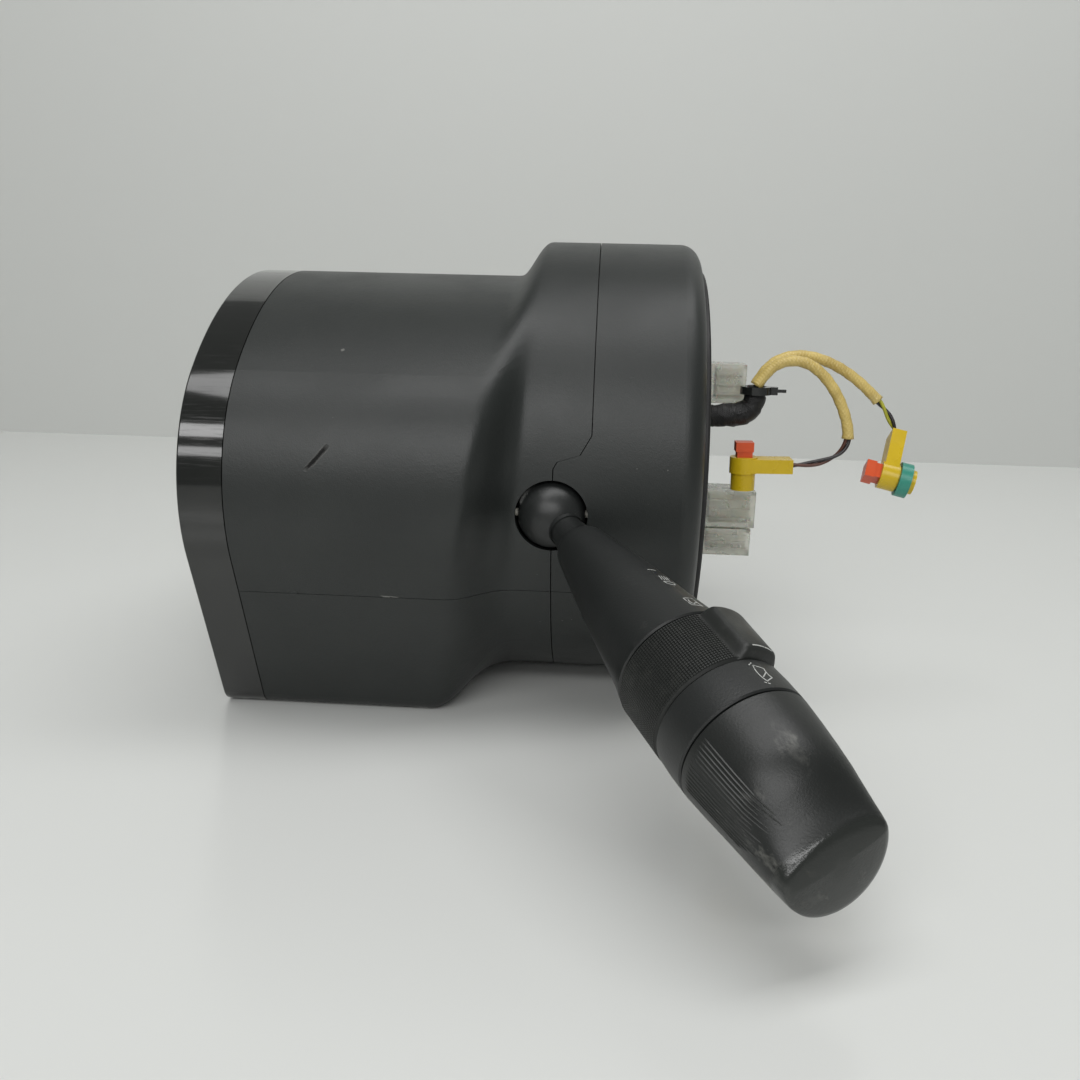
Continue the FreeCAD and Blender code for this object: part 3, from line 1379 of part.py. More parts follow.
def socket(name, near, far, low, high, reach):
    """Open connector shell on the rotor's face, with ribs along its near side."""
    body = new_body(name)
    slab(body, "shell", "YZ_Plane", "face_x", reach,
         lambda sketch: rectangle(sketch, near, far, low, high))
    for share in ("0.25", "0.5", "0.75"):
        middle = "%s + %s * (%s - (%s))" % (low, share, high, low)
        slab(body, "rib", "YZ_Plane", "face_x", reach + " - socket_wall",
             lambda sketch: rectangle(sketch, near + " - socket_rib", near,
                                      middle + " - socket_rib / 2", middle + " + socket_rib / 2"))
    slab(body, "mouth", "YZ_Plane", "face_x + socket_floor", reach,
         lambda sketch: rectangle(sketch, near + " + socket_wall", far + " - socket_wall",
                                  low + " + socket_wall", high + " - socket_wall"), True)
    keep(body, name)


# Leads to the airbag's igniters


def bent_path(points):
    """Straight runs joined by tangent arcs as large as their runs allow."""
    edges = []
    radii = []
    last = points[0]
    for before, corner, after in zip(points, points[1:], points[2:]):
        inward = corner - before
        outward = after - corner
        half_turn = inward.getAngle(outward) / 2
        reach = 0.45 * min(inward.Length, outward.Length)
        radii.append(round(reach / math.tan(half_turn), 1))
        start = corner - inward.normalize() * reach
        end = corner + outward.normalize() * reach
        rise = (start + end) * 0.5 - corner
        radius = reach / math.tan(half_turn)
        depth = radius / math.cos(half_turn) - radius
        middle = corner + rise.normalize() * depth
        edges.append(Part.LineSegment(last, start).toShape())
        edges.append(Part.Arc(start, middle, end).toShape())
        last = end
    edges.append(Part.LineSegment(last, points[-1]).toShape())
    return Part.Wire(edges), radii


def lead(name, radius, points):
    """A tube of the given radius along its route; prints the bends' radii."""
    route = [vector(*point) for point in points]
    path, radii = bent_path(route)
    along = route[1] - route[0]
    circle = Part.Circle(route[0], along, size(radius)).toShape()
    tube = path.makePipeShell([Part.Wire([circle])], True, False)
    feature = doc.addObject("Part::Feature", name + "_tube")
    feature.Shape = tube
    section = math.pi * size(radius) ** 2
    print(name, "bends", radii, "length", round(path.Length, 1),
          "volume error", round(abs(tube.Volume) / (section * path.Length) - 1, 4))
    return keep(feature, name)


BOOT_ROUTE = [(46.2, -38.0, 20.9), (58.5, -38.0, 21.1), (62.3, -38.0, 25.2), (62.2, -38.0, 31.0)]
SLEEVE_A_ROUTE = [
    (62.2, -39.9, 31.0), (65.2, -40.1, 36.2), (70.4, -40.5, 39.2), (76.4, -41.0, 39.1),
    (81.7, -41.5, 35.8), (86.5, -42.0, 30.0), (90.0, -42.4, 22.8), (91.7, -42.5, 16.1)]
SLEEVE_B_ROUTE = [
    (62.2, -36.1, 31.0), (65.0, -35.9, 36.3), (70.2, -35.5, 39.9), (77.1, -35.2, 40.9),
    (85.3, -35.3, 38.8), (93.5, -35.8, 34.1), (100.6, -36.4, 27.7)]
WIRES_A_ROUTE = [
    (91.7, -42.5, 16.1), (90.3, -42.5, 11.7), (86.5, -42.4, 8.8), (80.3, -42.2, 6.8), (74.5, -42.0, 6.4)]
WIRES_B_ROUTE = [
    (100.6, -36.4, 27.7), (103.7, -36.7, 24.2), (106.2, -37.0, 20.1), (107.9, -37.0, 16.5)]


def cable_tie():
    body = new_body("cable_tie")
    slab(body, "strap", "XY_Plane", "0", "tie_width", lambda sketch: disc(
        sketch, "0", "0", "boot_radius + tie_height"))
    slab(body, "head", "XY_Plane", "0", "tie_width", lambda sketch: rectangle(
        sketch, "boot_radius", "boot_radius + 3.4", "-1.7", "1.7"))
    slab(body, "tail", "XY_Plane", "tie_width * 0.3", "tie_width * 0.4", lambda sketch: rectangle(
        sketch, "boot_radius", "boot_radius + 6.2", "-0.8", "0.8"))
    slab(body, "inside", "XY_Plane", "0", "tie_width", lambda sketch: disc(
        sketch, "0", "0", "boot_radius + running_fit"), True)
    body.Placement = FreeCAD.Placement(vector(62.2, -38.0, 28.2), FreeCAD.Rotation())
    keep(body, "cable_tie")


def squib_plug(name, frame):
    """Igniter plug: wire arm along local X, head and barrel about local Z."""
    arm = new_body(name + "_arm")
    slab(arm, "arm", "XY_Plane", "-plug_arm_height / 2", "plug_arm_height",
         lambda sketch: rectangle(sketch, "0", "plug_reach", "-plug_arm_half", "plug_arm_half"))
    slab(arm, "head", "XY_Plane", "-plug_arm_height / 2 - 0.4", "plug_arm_height + 0.8",
         lambda sketch: disc(sketch, "0", "0", "plug_barrel_radius + 0.6"))
    slab(arm, "barrel", "XY_Plane", "-plug_barrel_drop", "plug_barrel_drop",
         lambda sketch: disc(sketch, "0", "0", "plug_barrel_radius"))
    slab(arm, "lock_slot", "XY_Plane", "plug_arm_height / 2 - 1.6", "4",
         lambda sketch: rectangle(sketch, "-lock_half - lock_fit", "lock_half + lock_fit",
                                  "-lock_half - lock_fit", "lock_half + lock_fit"), True)
    arm.Placement = frame
    return keep(arm, name)


def squib_lock(name, frame):
    """Sliding lock in the plug's head, shown pulled up."""
    body = new_body(name)
    slab(body, "tongue", "XY_Plane", "plug_arm_height / 2 - 1.4 + lock_travel", "4",
         lambda sketch: rectangle(sketch, "-lock_half", "lock_half", "-lock_half", "lock_half"))
    slab(body, "cap", "XY_Plane", "plug_arm_height / 2 + 0.6 + lock_travel", "lock_cap",
         lambda sketch: rectangle(sketch, "-lock_half - 0.5", "lock_half + 0.3",
                                  "-lock_half - 0.4", "lock_half + 0.4"))
    body.Placement = frame
    return keep(body, name)


def squib_leads():
    lead("harness_boot", "boot_radius", BOOT_ROUTE)
    lead("squib_sleeve_a", "lead_radius", SLEEVE_A_ROUTE)
    lead("squib_sleeve_b", "lead_radius", SLEEVE_B_ROUTE)
    lead("squib_wires_a", "wire_radius", WIRES_A_ROUTE)
    lead("squib_wires_b", "wire_radius", WIRES_B_ROUTE)
    cable_tie()
    reach = size("plug_reach")
    ends = (
        ("a", WIRES_A_ROUTE[-1], vector(1, 0, 0.02), vector(0, 0, 1)),
        ("b", WIRES_B_ROUTE[-1], vector(0.25, 0.55, 0.8), vector(-1, 0, 0)),
    )
    for which, end, along, lock_way in ends:
        along.normalize()
        turn = FreeCAD.Rotation(along, vector(0, 0, 0), lock_way, "XZY")
        frame = FreeCAD.Placement(vector(*end) - along * reach, turn)
        squib_plug("squib_plug_" + which, frame)
        squib_lock("squib_lock_" + which, frame)
    ring = new_body("squib_ring_b")
    slab(ring, "ring", "XY_Plane", "-plug_barrel_drop + 1.5", "3.5",
         lambda sketch: (disc(sketch, "0", "0", "plug_barrel_radius + 1.6"),
                         disc(sketch, "0", "0", "plug_barrel_radius + running_fit")))
    ring.Placement = frame
    keep(ring, "squib_ring_b")


def main():
    throat_form = throat_shell()
    upper_column_cover(throat_form)
    lower_column_cover(throat_form)
    end_trim_band()
    front_ring("front_ring_upper", True)
    front_ring("front_ring_lower", False)
    cover_screws()
    switch_base()
    clamp_band()
    clamp_screw()
    for prefix, sign, side in (("wiper", "-", -1), ("light", "", 1)):
        switch_case(prefix + "_switch_case", sign)
        switch_lid(prefix + "_switch_lid", sign)
        contact_board(prefix + "_contact_board", sign)
        switch_carrier(prefix + "_carrier", sign)
        detent_plunger(prefix + "_detent_plunger", sign)
        detent_spring(prefix + "_detent_spring", side)
        frame = stalk_frame(side, prefix + "_rake", prefix + "_droop")
        stalk_lever(prefix + "_lever", sign, frame)
        knurled_ring(prefix + "_ring", frame, side)
        stalk_collar(prefix + "_collar", frame)
        stalk_cap(prefix + "_end_cap", frame)
    sensor_housing()
    sensor_lid()
    sensor_board()
    main_gear()
    pinion("a")
    pinion("b")
    clock_spring_housing()
    module_screws()
    ribbon()
    rotor_disc()
    rotor_sleeve()
    socket("airbag_socket", "-33", "-20", "24.5", "37", "airbag_socket_reach")
    socket("horn_socket", "-36", "-22", "-16", "-4", "horn_socket_reach")
    socket("heater_socket", "-36", "-22", "-25.5", "-16.6", "heater_socket_reach")
    squib_leads()


def write_parts():
    doc.recompute()
    faulty = [item.Name for item in doc.Objects if {"Invalid", "Error"} & set(item.State)]
    if faulty:
        raise RuntimeError("not built: " + ", ".join(faulty))
    os.makedirs("parts", exist_ok=True)
    for name, item in PARTS.items():
        shape = item.Shape
        if shape.isNull() or not shape.isValid():
            raise RuntimeError("bad shape: " + name)
        shape.exportStep("parts/" + name + ".step")
        print(name, len(shape.Solids), round(shape.Volume))


main()
write_parts()
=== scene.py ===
import bmesh
import bpy
import json
import math
from mathutils import Matrix, Vector
from mathutils.bvhtree import BVHTree


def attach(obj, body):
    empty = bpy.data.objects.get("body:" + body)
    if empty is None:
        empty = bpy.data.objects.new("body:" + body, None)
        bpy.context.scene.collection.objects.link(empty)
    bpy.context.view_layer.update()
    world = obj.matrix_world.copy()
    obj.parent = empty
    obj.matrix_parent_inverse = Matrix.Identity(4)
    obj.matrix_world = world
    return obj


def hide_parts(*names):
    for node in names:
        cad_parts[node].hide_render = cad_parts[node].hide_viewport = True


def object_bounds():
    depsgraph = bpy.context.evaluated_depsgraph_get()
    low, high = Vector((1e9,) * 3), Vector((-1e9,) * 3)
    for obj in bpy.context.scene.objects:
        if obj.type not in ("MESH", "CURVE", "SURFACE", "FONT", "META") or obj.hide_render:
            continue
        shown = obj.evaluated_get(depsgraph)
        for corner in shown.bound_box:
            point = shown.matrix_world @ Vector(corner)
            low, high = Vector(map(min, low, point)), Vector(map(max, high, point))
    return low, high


# Steering column switch module: covers, wiper and light stalks, clock spring with
# airbag leads. Metres; X is the column's axis towards the driver, Z is up.

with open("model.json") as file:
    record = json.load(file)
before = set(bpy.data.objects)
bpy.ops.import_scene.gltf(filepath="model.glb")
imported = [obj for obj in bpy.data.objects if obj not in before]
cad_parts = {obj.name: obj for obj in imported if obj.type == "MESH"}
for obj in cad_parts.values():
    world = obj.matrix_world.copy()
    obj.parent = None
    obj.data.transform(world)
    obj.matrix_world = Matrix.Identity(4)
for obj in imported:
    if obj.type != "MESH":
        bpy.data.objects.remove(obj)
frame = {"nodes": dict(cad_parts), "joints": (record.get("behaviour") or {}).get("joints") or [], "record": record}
nodes = frame["nodes"]
joints = {joint["name"]: joint for joint in frame["joints"]}
cad_low, cad_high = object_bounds()

MM = 0.001


class Stalk:
    """Directions of one stalk: X runs out along it from its ball, Y is level, Z is its upper side."""

    def __init__(self, name, side):
        self.name = name
        self.side = side
        along = Vector(joints[name + "_ring_turn"]["axis"]).normalized()
        level = Vector((0, 0, 1)).cross(along).normalized()
        self.place = Matrix((along, level, along.cross(level))).transposed().to_4x4()
        self.place.translation = Vector(joints[name + "_swing"]["pos_m"])

    def part(self, which):
        return self.name + "_" + which

    def outward(self, rise):
        """Direction away from the axis, at an angle above the side that faces the driver."""
        turn = rise if self.side < 0 else math.pi - rise
        return self.place.to_3x3() @ Vector((0, math.cos(turn), math.sin(turn)))

    def point(self, along, rise, radius):
        return self.place @ Vector((along, 0, 0)) + self.outward(rise) * radius

    def spot(self, skin, along, rise, lift=0.0):
        """A point on the outside of one of the stalk's pieces."""
        outward = self.outward(rise)
        hit = skin.ray_cast(self.point(along, rise, 40 * MM), -outward)
        return hit[0] + outward * lift


WIPER = Stalk("wiper", -1)
LIGHT = Stalk("light", 1)


# Materials


class Finish:
    """A node material in the making: a Principled surface and what feeds it."""

    def __init__(self, name, colour, roughness, metallic=0.0):
        self.material = bpy.data.materials.new(name)
        self.material.use_nodes = True
        self.tree = self.material.node_tree
        self.surface = self.tree.nodes["Principled BSDF"]
        self.surface.inputs["Base Color"].default_value = (*colour, 1.0)
        self.surface.inputs["Roughness"].default_value = roughness
        self.surface.inputs["Metallic"].default_value = metallic
        self.colour = None
        self.rough = None
        self.height = None
        self.base_colour = colour
        self.base_roughness = roughness
        self.place = self.add("ShaderNodeTexCoord").outputs["Object"]

    def add(self, kind, **values):
        node = self.tree.nodes.new(kind)
        for name, value in values.items():
            setattr(node, name, value)
        return node

    def join(self, output, socket):
        self.tree.links.new(output, socket)

    def set(self, **values):
        for name, value in values.items():
            self.surface.inputs[name.replace("_", " ").title().replace("Ior", "IOR")].default_value = value

    def mapped(self, scale=(1, 1, 1), turn=(0, 0, 0), move=(0, 0, 0)):
        node = self.add("ShaderNodeMapping")
        node.inputs["Location"].default_value = move
        node.inputs["Rotation"].default_value = turn
        node.inputs["Scale"].default_value = scale
        self.join(self.place, node.inputs["Vector"])
        return node.outputs["Vector"]

    def along_stalk(self, stalk):
        """Reads places in the stalk's own directions from here on."""
        inverse = stalk.place.inverted()
        self.place = self.mapped((1, 1, 1), inverse.to_euler("XYZ"), inverse.translation)

    def axis(self, name):
        node = self.add("ShaderNodeSeparateXYZ")
        self.join(self.place, node.inputs["Vector"])
        return node.outputs[name]

    def noise(self, scale, detail=3.0, roughness=0.5, vector=None):
        node = self.add("ShaderNodeTexNoise")
        node.inputs["Scale"].default_value = scale
        node.inputs["Detail"].default_value = detail
        node.inputs["Roughness"].default_value = roughness
        self.join(vector or self.place, node.inputs["Vector"])
        return node.outputs["Fac"]

    def cells(self, scale, feature="F1", vector=None):
        node = self.add("ShaderNodeTexVoronoi", feature=feature)
        node.inputs["Scale"].default_value = scale
        self.join(vector or self.place, node.inputs["Vector"])
        return node.outputs["Distance"]

    def bands(self, scale, direction="X", distortion=0.0, vector=None):
        node = self.add("ShaderNodeTexWave", wave_type="BANDS", bands_direction=direction)
        node.inputs["Scale"].default_value = scale
        node.inputs["Distortion"].default_value = distortion
        self.join(vector or self.place, node.inputs["Vector"])
        return node.outputs["Fac"]

    def ramp(self, value, low, high, bottom=0.0, top=1.0):
        node = self.add("ShaderNodeMapRange")
        node.clamp = True
        for name, number in (("From Min", low), ("From Max", high), ("To Min", bottom), ("To Max", top)):
            node.inputs[name].default_value = number
        self.join(value, node.inputs["Value"])
        return node.outputs["Result"]

    def maths(self, operation, first, second):
        node = self.add("ShaderNodeMath", operation=operation)
        for socket, value in zip(node.inputs, (first, second)):
            if isinstance(value, (int, float)):
                socket.default_value = value
            else:
                self.join(value, socket)
        return node.outputs["Value"]

    def both(self, first, second):
        return self.maths("MULTIPLY", first, second)

    def near_line(self, start, end, width):
        """1 by the line between two places, falling to 0 at the width above and below it."""
        middle = [(a + b) / 2 for a, b in zip(start, end)]
        reach = Vector(end) - Vector(start)
        turn = reach.to_track_quat("X", "Z").inverted()
        shift = turn @ -Vector(middle)
        node = self.add("ShaderNodeSeparateXYZ")
        self.join(self.mapped((1, 1, 1), turn.to_euler("XYZ"), shift), node.inputs["Vector"])
        wobble = self.both(self.maths("SUBTRACT", self.noise(420.0, 3.0, 0.7), 0.5), width * 1.4)
        aside = self.maths("ABSOLUTE", self.maths("ADD", node.outputs["Z"], wobble), 0.0)
        ends = self.ramp(self.maths("ABSOLUTE", node.outputs["X"], 0.0), reach.length / 2, reach.length * 0.32)
        return self.both(self.ramp(aside, width, width * 0.45), ends)

    def tint(self, mask, colour):
        """Blends a colour over the surface where the mask is 1."""
        node = self.add("ShaderNodeMix", data_type="RGBA")
        if self.colour is None:
            node.inputs["A"].default_value = (*self.base_colour, 1.0)
        else:
            self.join(self.colour, node.inputs["A"])
        node.inputs["B"].default_value = (*colour, 1.0)
        self.join(mask, node.inputs["Factor"])
        self.colour = node.outputs["Result"]

    def polish(self, mask, roughness):
        """Blends the roughness to another value where the mask is 1."""
        start = self.rough if self.rough is not None else self.base_roughness
        span = self.maths("SUBTRACT", roughness, start)
        self.rough = self.maths("ADD", start, self.both(mask, span))

    def relief(self, value, depth):
        """Adds a height, in metres, to the surface's bump."""
        step = self.both(value, depth)
        self.height = step if self.height is None else self.maths("ADD", self.height, step)

    def done(self):
        if self.colour is not None:
            self.join(self.colour, self.surface.inputs["Base Color"])
        if self.rough is not None:
            self.join(self.rough, self.surface.inputs["Roughness"])
        if self.height is not None:
            bump = self.add("ShaderNodeBump")
            bump.inputs["Distance"].default_value = 1.0
            self.join(self.height, bump.inputs["Height"])
            self.join(bump.outputs["Normal"], self.surface.inputs["Normal"])
        return self.material


# Ends of the gouge on the upper cover's shoulder, and of two lesser scores, in metres
GOUGE = ((-0.0693, -0.0892, 0.0076), (-0.0627, -0.0873, 0.0150))
SCORES = (((-0.0634, -0.0671, 0.0406), (-0.0628, -0.0678, 0.0400)),
          ((-0.0500, -0.0816, -0.0306), (-0.0441, -0.0816, -0.0309)))


def cover_plastic(name, scored):
    """Grained black covers, with wiped marks, dust in the grain and a few light nicks; the gouge's near-black core
    is painted shade.
    """
    finish = Finish(name, (0.0175, 0.0200, 0.0190), 0.40)
    finish.set(specular_ior_level=0.45)
    finish.relief(finish.noise(2600.0, 2.0, 0.6), 0.00005)
    finish.relief(finish.noise(800.0, 2.0), 0.00004)
    finish.polish(finish.ramp(finish.noise(24.0, 4.0, 0.6), 0.42, 0.62), 0.47)
    dusty = finish.ramp(finish.noise(38.0, 5.0), 0.35, 0.75, 0.0, 0.5)
    finish.tint(dusty, (0.026, 0.029, 0.027))
    grit = finish.both(finish.ramp(finish.cells(260.0), 0.05, 0.03),
                       finish.ramp(finish.noise(37.0, 2.0), 0.61, 0.66))
    finish.tint(grit, (0.17, 0.17, 0.16))
    if scored:
        for start, end in SCORES:
            finish.tint(finish.near_line(start, end, 0.00025), (0.14, 0.14, 0.13))
        pale = finish.near_line(*GOUGE, 0.00095)
        finish.tint(pale, (0.075, 0.075, 0.070))
        # Gouge: a paler band, then a near-black core that is painted shade in the groove, over a real dent and
        # dull roughness
        groove_with_painted_shade = finish.near_line(*GOUGE, 0.00060)
        finish.tint(groove_with_painted_shade, (0.002, 0.002, 0.002))
        finish.relief(groove_with_painted_shade, -0.0003)
        finish.polish(groove_with_painted_shade, 0.9)
    return finish.done()


def trim_gloss():
    """Piano-black band at the dashboard end, with hairline scratches."""
    finish = Finish("trim_gloss", (0.010, 0.011, 0.010), 0.10)
    finish.set(coat_weight=0.4, coat_roughness=0.04)
    lines = finish.noise(90.0, 2.0, 0.5, finish.mapped((1.0, 14.0, 22.0), (0.5, 0.2, 0.0)))
    finish.polish(finish.ramp(lines, 0.56, 0.66), 0.22)
    finish.relief(finish.noise(60.0, 1.0), 0.00006)
    finish.tint(finish.ramp(finish.noise(55.0, 4.0), 0.5, 0.8, 0.0, 0.5), (0.022, 0.023, 0.021))
    return finish.done()


def worn_black(finish):
    """Adds what all stalk parts share: fine grain, rubbed patches and pale scuffs."""
    finish.relief(finish.noise(1800.0, 2.0, 0.6), 0.00004)
    finish.polish(finish.ramp(finish.noise(45.0, 4.0, 0.6), 0.45, 0.65), 0.33)
    scuffs = finish.ramp(finish.noise(140.0, 6.0, 0.7), 0.64, 0.76, 0.0, 0.45)
    finish.tint(scuffs, (0.060, 0.061, 0.057))


def stalk_plastic():
    """Smooth satin black of the shanks and collars."""
    finish = Finish("stalk_plastic", (0.0150, 0.0165, 0.0160), 0.42)
    worn_black(finish)
    return finish.done()


def cap_plastic(stalk):
    """End cap: rubbed pale beside its ridges, with a polished dome lightened by painted sheen."""
    finish = Finish(stalk.name + "_cap_plastic", (0.0125, 0.0140, 0.0130), 0.40)
    worn_black(finish)
    finish.along_stalk(stalk)
    streaks = finish.noise(210.0, 6.0, 0.72, finish.mapped((0.45, 1.0, 1.0)))
    fair = finish.ramp(finish.noise(52.0, 3.0), 0.50, 0.62)
    finish.tint(finish.both(finish.ramp(streaks, 0.54, 0.68), fair), (0.115, 0.115, 0.105))
    tip_polish_and_painted_sheen = finish.ramp(finish.axis("X"), 134.4 * MM, 135.6 * MM)
    finish.polish(tip_polish_and_painted_sheen, 0.16)
    # Painted sheen: the dome is tinted lighter than the cap's black plastic
    finish.tint(finish.both(tip_polish_and_painted_sheen, 0.6), (0.030, 0.033, 0.030))
    return finish.done()


def knurl_plastic():
    """Grip ring, dull between its knobs and rubbed on their tops."""
    finish = Finish("knurl_plastic", (0.0155, 0.0170, 0.0155), 0.50)
    finish.relief(finish.noise(2400.0, 2.0), 0.00003)
    finish.tint(finish.ramp(finish.noise(120.0, 5.0, 0.7), 0.50, 0.75, 0.0, 0.7), (0.048, 0.050, 0.045))
    finish.polish(finish.ramp(finish.noise(60.0, 3.0), 0.45, 0.65), 0.36)
    return finish.done()


def moulded(name, colour, roughness, grain=1500.0, depth=0.00004, mottle=0.25):
    finish = Finish(name, colour, roughness)
    finish.relief(finish.noise(grain, 2.0, 0.6), depth)
    darker = tuple(c * 0.72 for c in colour)
    finish.tint(finish.ramp(finish.noise(70.0, 4.0, 0.6), 0.35, 0.7, 0.0, mottle * 2), darker)
    finish.polish(finish.ramp(finish.noise(120.0, 3.0), 0.4, 0.7), min(1.0, roughness + 0.14))
    return finish.done()


def milky_nylon():
    """Natural, half-clear plastic of the sockets, with flow lines."""
    finish = Finish("milky_nylon", (0.83, 0.83, 0.76), 0.16)
    finish.set(subsurface_weight=0.2, subsurface_scale=0.002, transmission_weight=0.72)
    finish.relief(finish.noise(240.0, 2.0), 0.00008)
    flow = finish.noise(150.0, 3.0, 0.6, finish.mapped((0.3, 1.0, 2.0)))
    finish.tint(finish.ramp(flow, 0.45, 0.75, 0.0, 0.55), (0.60, 0.60, 0.50))
    finish.polish(finish.ramp(finish.noise(330.0, 3.0), 0.45, 0.65), 0.30)
    return finish.done()


def plated_steel(name, colour, roughness):
    finish = Finish(name, colour, roughness, 1.0)
    streaks = finish.noise(220.0, 3.0, 0.5, finish.mapped((1.0, 1.0, 9.0)))
    finish.polish(finish.ramp(streaks, 0.4, 0.65), roughness + 0.18)
    finish.tint(finish.ramp(finish.noise(130.0, 4.0), 0.45, 0.75, 0.0, 0.6), tuple(c * 0.6 for c in colour))
    finish.relief(finish.noise(900.0, 2.0), 0.00002)
    return finish.done()


def circuit_board():
    """Green solder mask over copper tracks, with bright pads."""
    finish = Finish("circuit_board", (0.015, 0.10, 0.040), 0.28)
    tracks = finish.add("ShaderNodeTexBrick")
    tracks.inputs["Scale"].default_value = 150.0
    tracks.inputs["Mortar Size"].default_value = 0.04
    finish.join(finish.mapped((1, 1, 1), (0, math.pi / 2, 0)), tracks.inputs["Vector"])
    finish.tint(finish.ramp(tracks.outputs["Fac"], 0.0, 1.0, 0.0, 0.7), (0.02, 0.20, 0.08))
    finish.tint(finish.ramp(finish.cells(420.0), 0.16, 0.13), (0.62, 0.60, 0.52))
    return finish.done()


def ribbon_film():
    """Amber film with copper tracks running along the tape."""
    finish = Finish("ribbon_film", (0.42, 0.20, 0.04), 0.25)
    finish.tint(finish.ramp(finish.bands(90.0), 0.5, 0.7), (0.55, 0.24, 0.10))
    finish.polish(finish.ramp(finish.noise(90.0, 3.0), 0.4, 0.7), 0.4)
    return finish.done()


def wound_tape():
    """Black cloth tape, its weave showing, shiny where it was pressed down."""
    finish = Finish("wound_tape", (0.0028, 0.0028, 0.0028), 0.55)
    for turn in (0.6, -0.9):
        finish.relief(finish.bands(650.0, "X", 1.5, finish.mapped((1, 1, 1), (turn, 0, turn))), 0.00005)
    finish.relief(finish.noise(300.0, 3.0), 0.00020)
    finish.polish(finish.ramp(finish.noise(160.0, 3.0), 0.42, 0.62), 0.30)
    finish.tint(finish.ramp(finish.noise(420.0, 4.0, 0.7), 0.60, 0.75, 0.0, 0.5), (0.05, 0.05, 0.05))
    return finish.done()


def braided_sleeve():
    """Pale yellow sleeving, soiled in places, with a fine woven surface."""
    finish = Finish("braided_sleeve", (0.62, 0.47, 0.15), 0.42)
    for turn in (0.8, -0.8):
        finish.relief(finish.bands(420.0, "X", 0.0, finish.mapped((1, 1, 1), (turn, turn, 0))), 0.00006)
    finish.tint(finish.ramp(finish.noise(170.0, 4.0), 0.45, 0.7, 0.0, 0.6), (0.42, 0.30, 0.08))
    finish.tint(finish.ramp(finish.noise(60.0, 2.0), 0.55, 0.7, 0.0, 0.45), (0.70, 0.62, 0.30))
    finish.polish(finish.ramp(finish.noise(90.0, 3.0), 0.4, 0.7), 0.30)
    return finish.done()


def glossy_insulation(name, colour):
    finish = Finish(name, colour, 0.28)
    finish.relief(finish.noise(500.0, 2.0), 0.00004)
    finish.tint(finish.ramp(finish.noise(300.0, 3.0), 0.5, 0.7, 0.0, 0.4), tuple(c * 0.6 for c in colour))
    return finish.done()


def white_print():
    """Pad-printed marks, worn thin in specks."""
    finish = Finish("white_print", (0.52, 0.53, 0.51), 0.55)
    finish.tint(finish.ramp(finish.noise(900.0, 4.0, 0.7), 0.54, 0.64, 0.0, 0.8), (0.08, 0.08, 0.08))
    return finish.done()


FINISHES = {
    "cover_plastic": cover_plastic("cover_plastic", False),
    "trim_gloss": trim_gloss(),
    "base_plastic": moulded("base_plastic", (0.018, 0.018, 0.018), 0.5),
    "case_plastic": moulded("case_plastic", (0.040, 0.040, 0.043), 0.42),
    "carrier_plastic": moulded("carrier_plastic", (0.66, 0.64, 0.56), 0.35),
    "stalk_plastic": stalk_plastic(),
    "circuit_board": circuit_board(),
    "socket_plastic": milky_nylon(),
    "steel": plated_steel("zinc_plate", (0.55, 0.55, 0.56), 0.30),
    "spring_steel": plated_steel("spring_wire", (0.40, 0.40, 0.41), 0.28),
    "magnet": moulded("ferrite", (0.05, 0.05, 0.055), 0.4, 2500.0),
    "ribbon_film": ribbon_film(),
    "cloth_tape": wound_tape(),
    "yellow_sleeve": braided_sleeve(),
    "wire_insulation": glossy_insulation("dark_insulation", (0.020, 0.016, 0.018)),
    "yellow_plug": moulded("yellow_plug", (0.62, 0.43, 0.010), 0.26),
    "orange_lock": moulded("orange_lock", (0.66, 0.085, 0.018), 0.28),
    "green_ring": moulded("green_ring", (0.035, 0.27, 0.20), 0.30),
}
SLOT_OF = {part["node"]: part["material_slot"] for part in frame["record"]["subparts"]}


def dress(piece, material):
    piece.data.materials.clear()
    piece.data.materials.append(material)


for name, node in nodes.items():
    dress(node, FINISHES[SLOT_OF[name]])
dress(nodes["upper_column_cover"], cover_plastic("scored_cover_plastic_with_painted_shade", True))


# Making of pieces


def piece_from(name, mesh, body, materials):
    """Turns a bmesh into a piece that rides on a body."""
    bmesh.ops.recalc_face_normals(mesh, faces=mesh.faces)
    data = bpy.data.meshes.new(name)
    mesh.to_mesh(data)
    mesh.free()
    piece = bpy.data.objects.new(name, data)
    bpy.context.scene.collection.objects.link(piece)
    for material in materials:
        data.materials.append(material)
    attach(piece, body)
    return piece


def mesh_of_curve(curve):
    """The mesh that Blender makes of a curve."""
    holder = bpy.data.objects.new(curve.name, curve)
    bpy.context.scene.collection.objects.link(holder)
    bpy.context.view_layer.update()
    mesh = bpy.data.meshes.new_from_object(holder)
    bpy.data.objects.remove(holder)
    bpy.data.curves.remove(curve)
    return mesh


def smooth_line(points):
    """Points along the NURBS spline that has the route's points as control points."""
    curve = bpy.data.curves.new("route", "CURVE")
    curve.dimensions = "3D"
    curve.resolution_u = 12
    spline = curve.splines.new("NURBS")
    spline.points.add(len(points) - 1)
    for point, place in zip(spline.points, points):
        point.co = (*place, 1.0)
    spline.order_u = 3
    spline.use_endpoint_u = True
    mesh = mesh_of_curve(curve)
    line = [vertex.co.copy() for vertex in mesh.vertices]
    bpy.data.meshes.remove(mesh)
    return line


def line_length(line):
    return sum((b - a).length for a, b in zip(line, line[1:]))


def even_line(line, step):
    """The same line with evenly spaced points."""
    total = line_length(line)
    count = max(2, round(total / step))
    spots = [total * k / count for k in range(count + 1)]
    result = []
    walked = 0.0
    index = 0
    for spot in spots:
        while index < len(line) - 2 and walked + (line[index + 1] - line[index]).length < spot:
            walked += (line[index + 1] - line[index]).length
            index += 1
        run = line[index + 1] - line[index]
        result.append(line[index] + run * min(1.0, (spot - walked) / run.length))
    return result


